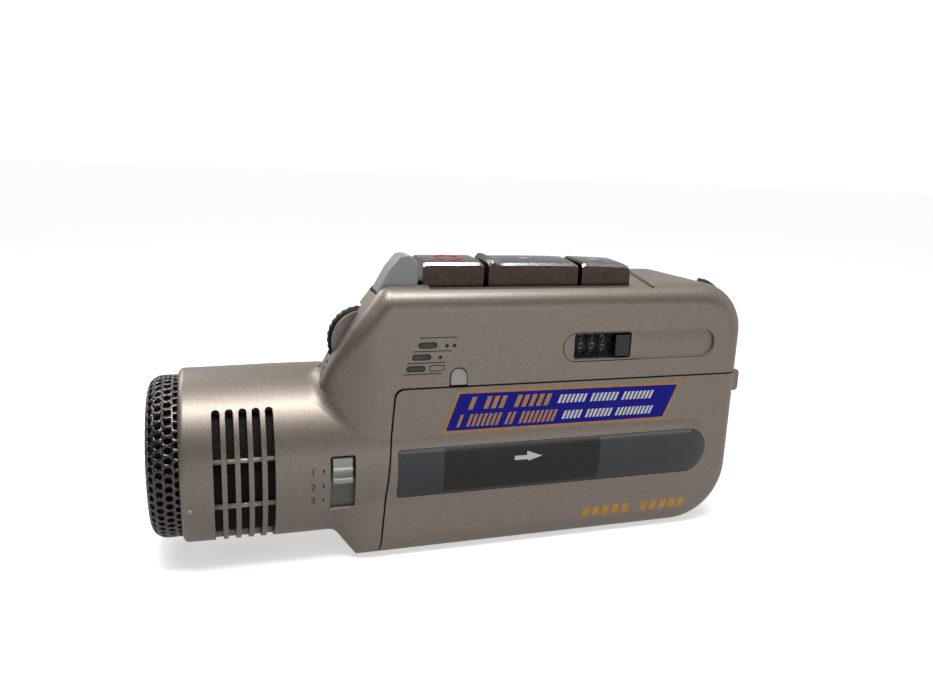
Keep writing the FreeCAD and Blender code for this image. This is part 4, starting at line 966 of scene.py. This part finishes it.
def make_speed_knob():
    """Two-lobed glossy slider on the round upper right corner."""
    back_radius, rest_radius, low_lift, lobe, steps = 10.6, 12.0, 0.75, 0.32, 28
    y0, length, start, end = -10.3, 3.8, 38.5, 69.5
    bm = bmesh.new()
    rows = []
    for i in range(steps + 1):
        y = y0 + length * i / steps
        lift = low_lift + lobe * abs(math.sin(2 * math.pi * i / steps)) ** 0.7
        outline = (arc(CORNER_X, CORNER_Z, rest_radius + lift, start, end, 10)
                   + arc(CORNER_X, CORNER_Z, back_radius, end, start, 10))
        rows.append([bm.verts.new((u, y, v)) for u, v in outline])
    skin(bm, rows)
    piece("speed_knob", bm, MATERIALS["gloss_black"], "speed_knob", ("speed_switch",),
          bevel=0.2)


def make_deck_step():
    """The slanting lip where the key tray meets the higher right end of the deck."""
    start, finish = Vector((43.0, -16.3, 60.45)), Vector((51.3, 9.0, 60.45))
    sides = 12
    across = (finish - start).normalized().cross(Vector((0, 0, 1)))
    bm = bmesh.new()
    rows = []
    for t in (0.0, 0.03, 0.08, 0.5, 0.97, 1.0):
        half, rise = (0.15, 0.12) if t in (0.0, 1.0) else (0.42, 0.42)
        middle = start.lerp(finish, t)
        rows.append([bm.verts.new(middle + across * half * math.cos(a) + Vector((0, 0, rise * math.sin(a))))
                     for a in (math.radians(360 / sides * k) for k in range(sides))])
    skin(bm, rows)
    piece("deck_step", bm, PAINT, "case", ())


# ---------------------------------------------------------------- back, underside and right end

def make_screws():
    """Three cross-head screws in the back; black bars of painted shade stand for their cross recesses."""
    shadow = 1
    screw = [(0.0, -12.0), (0.9, -12.0), (0.9, 0.1), (1.9, 0.1), (1.88, 0.9), (1.5, 1.25), (0.0, 1.35)]
    slot = [(-1.1, -0.2), (1.1, -0.2), (1.1, 0.2), (-1.1, 0.2)]
    bm = bmesh.new()
    for x, z in ((-8.0, 6.5), (6.0, 52.5), (57.0, 52.5)):
        lathe(bm, screw, "y", (x, 14.1, z), 40)
        for turn in (0, 90):
            c, s = math.cos(math.radians(turn)), math.sin(math.radians(turn))
            # Painted shade: a black cross lies on each head in place of the cut recess.
            prism(bm, [(x + u * c - v * s, z + u * s + v * c) for u, v in slot], 15.3, 15.47, "y", shadow)
    piece("screw_heads", bm, [MATERIALS["plated_steel"], BLACK_INK_AND_SLOT_SHADE], "case", ("case_screws",),
          smooth=False, bevel=0.05)


def make_door_marks():
    """Grip bars and an arrow on the battery door."""
    door_face = 17.0
    arrow = [(22.0, 17.5), (26.0, 17.5), (26.0, 16.2), (29.0, 18.5), (26.0, 20.8), (26.0, 19.5),
             (22.0, 19.5)]
    bm = bmesh.new()
    for k in range(6):
        x = 10.0 + k * 1.6
        block(bm, x, door_face, 12.0, x + 0.8, door_face + 0.45, 25.0)
    prism(bm, arrow, door_face, door_face + 0.35)
    piece("door_grips", bm, PAINT, "door", (), bevel=0.12)


def make_jacks():
    """Collars round the two jacks on the right end."""
    collar = [(1.85, 0.0), (2.7, 0.0), (2.75, 0.35), (2.55, 0.55), (2.0, 0.55), (1.85, 0.35)]
    for name, z in (("ear", 46.0), ("power", 40.0)):
        bm = bmesh.new()
        lathe(bm, collar, "x", (68.3, 6.0, z), 40)
        piece(name + "_jack_collar", bm, MATERIALS["gloss_black"], "case", ())


make_camera()
make_stage()
dress_cad_nodes()
make_grille()
make_slot_ribs()
make_cove()
make_keys()
make_springs()
make_lever()
make_volume_wheel()
make_mode_switch()
make_prints()
make_label()
make_window_marks()
make_counter()
make_speed_knob()
make_deck_step()
make_screws()
make_door_marks()
make_jacks()
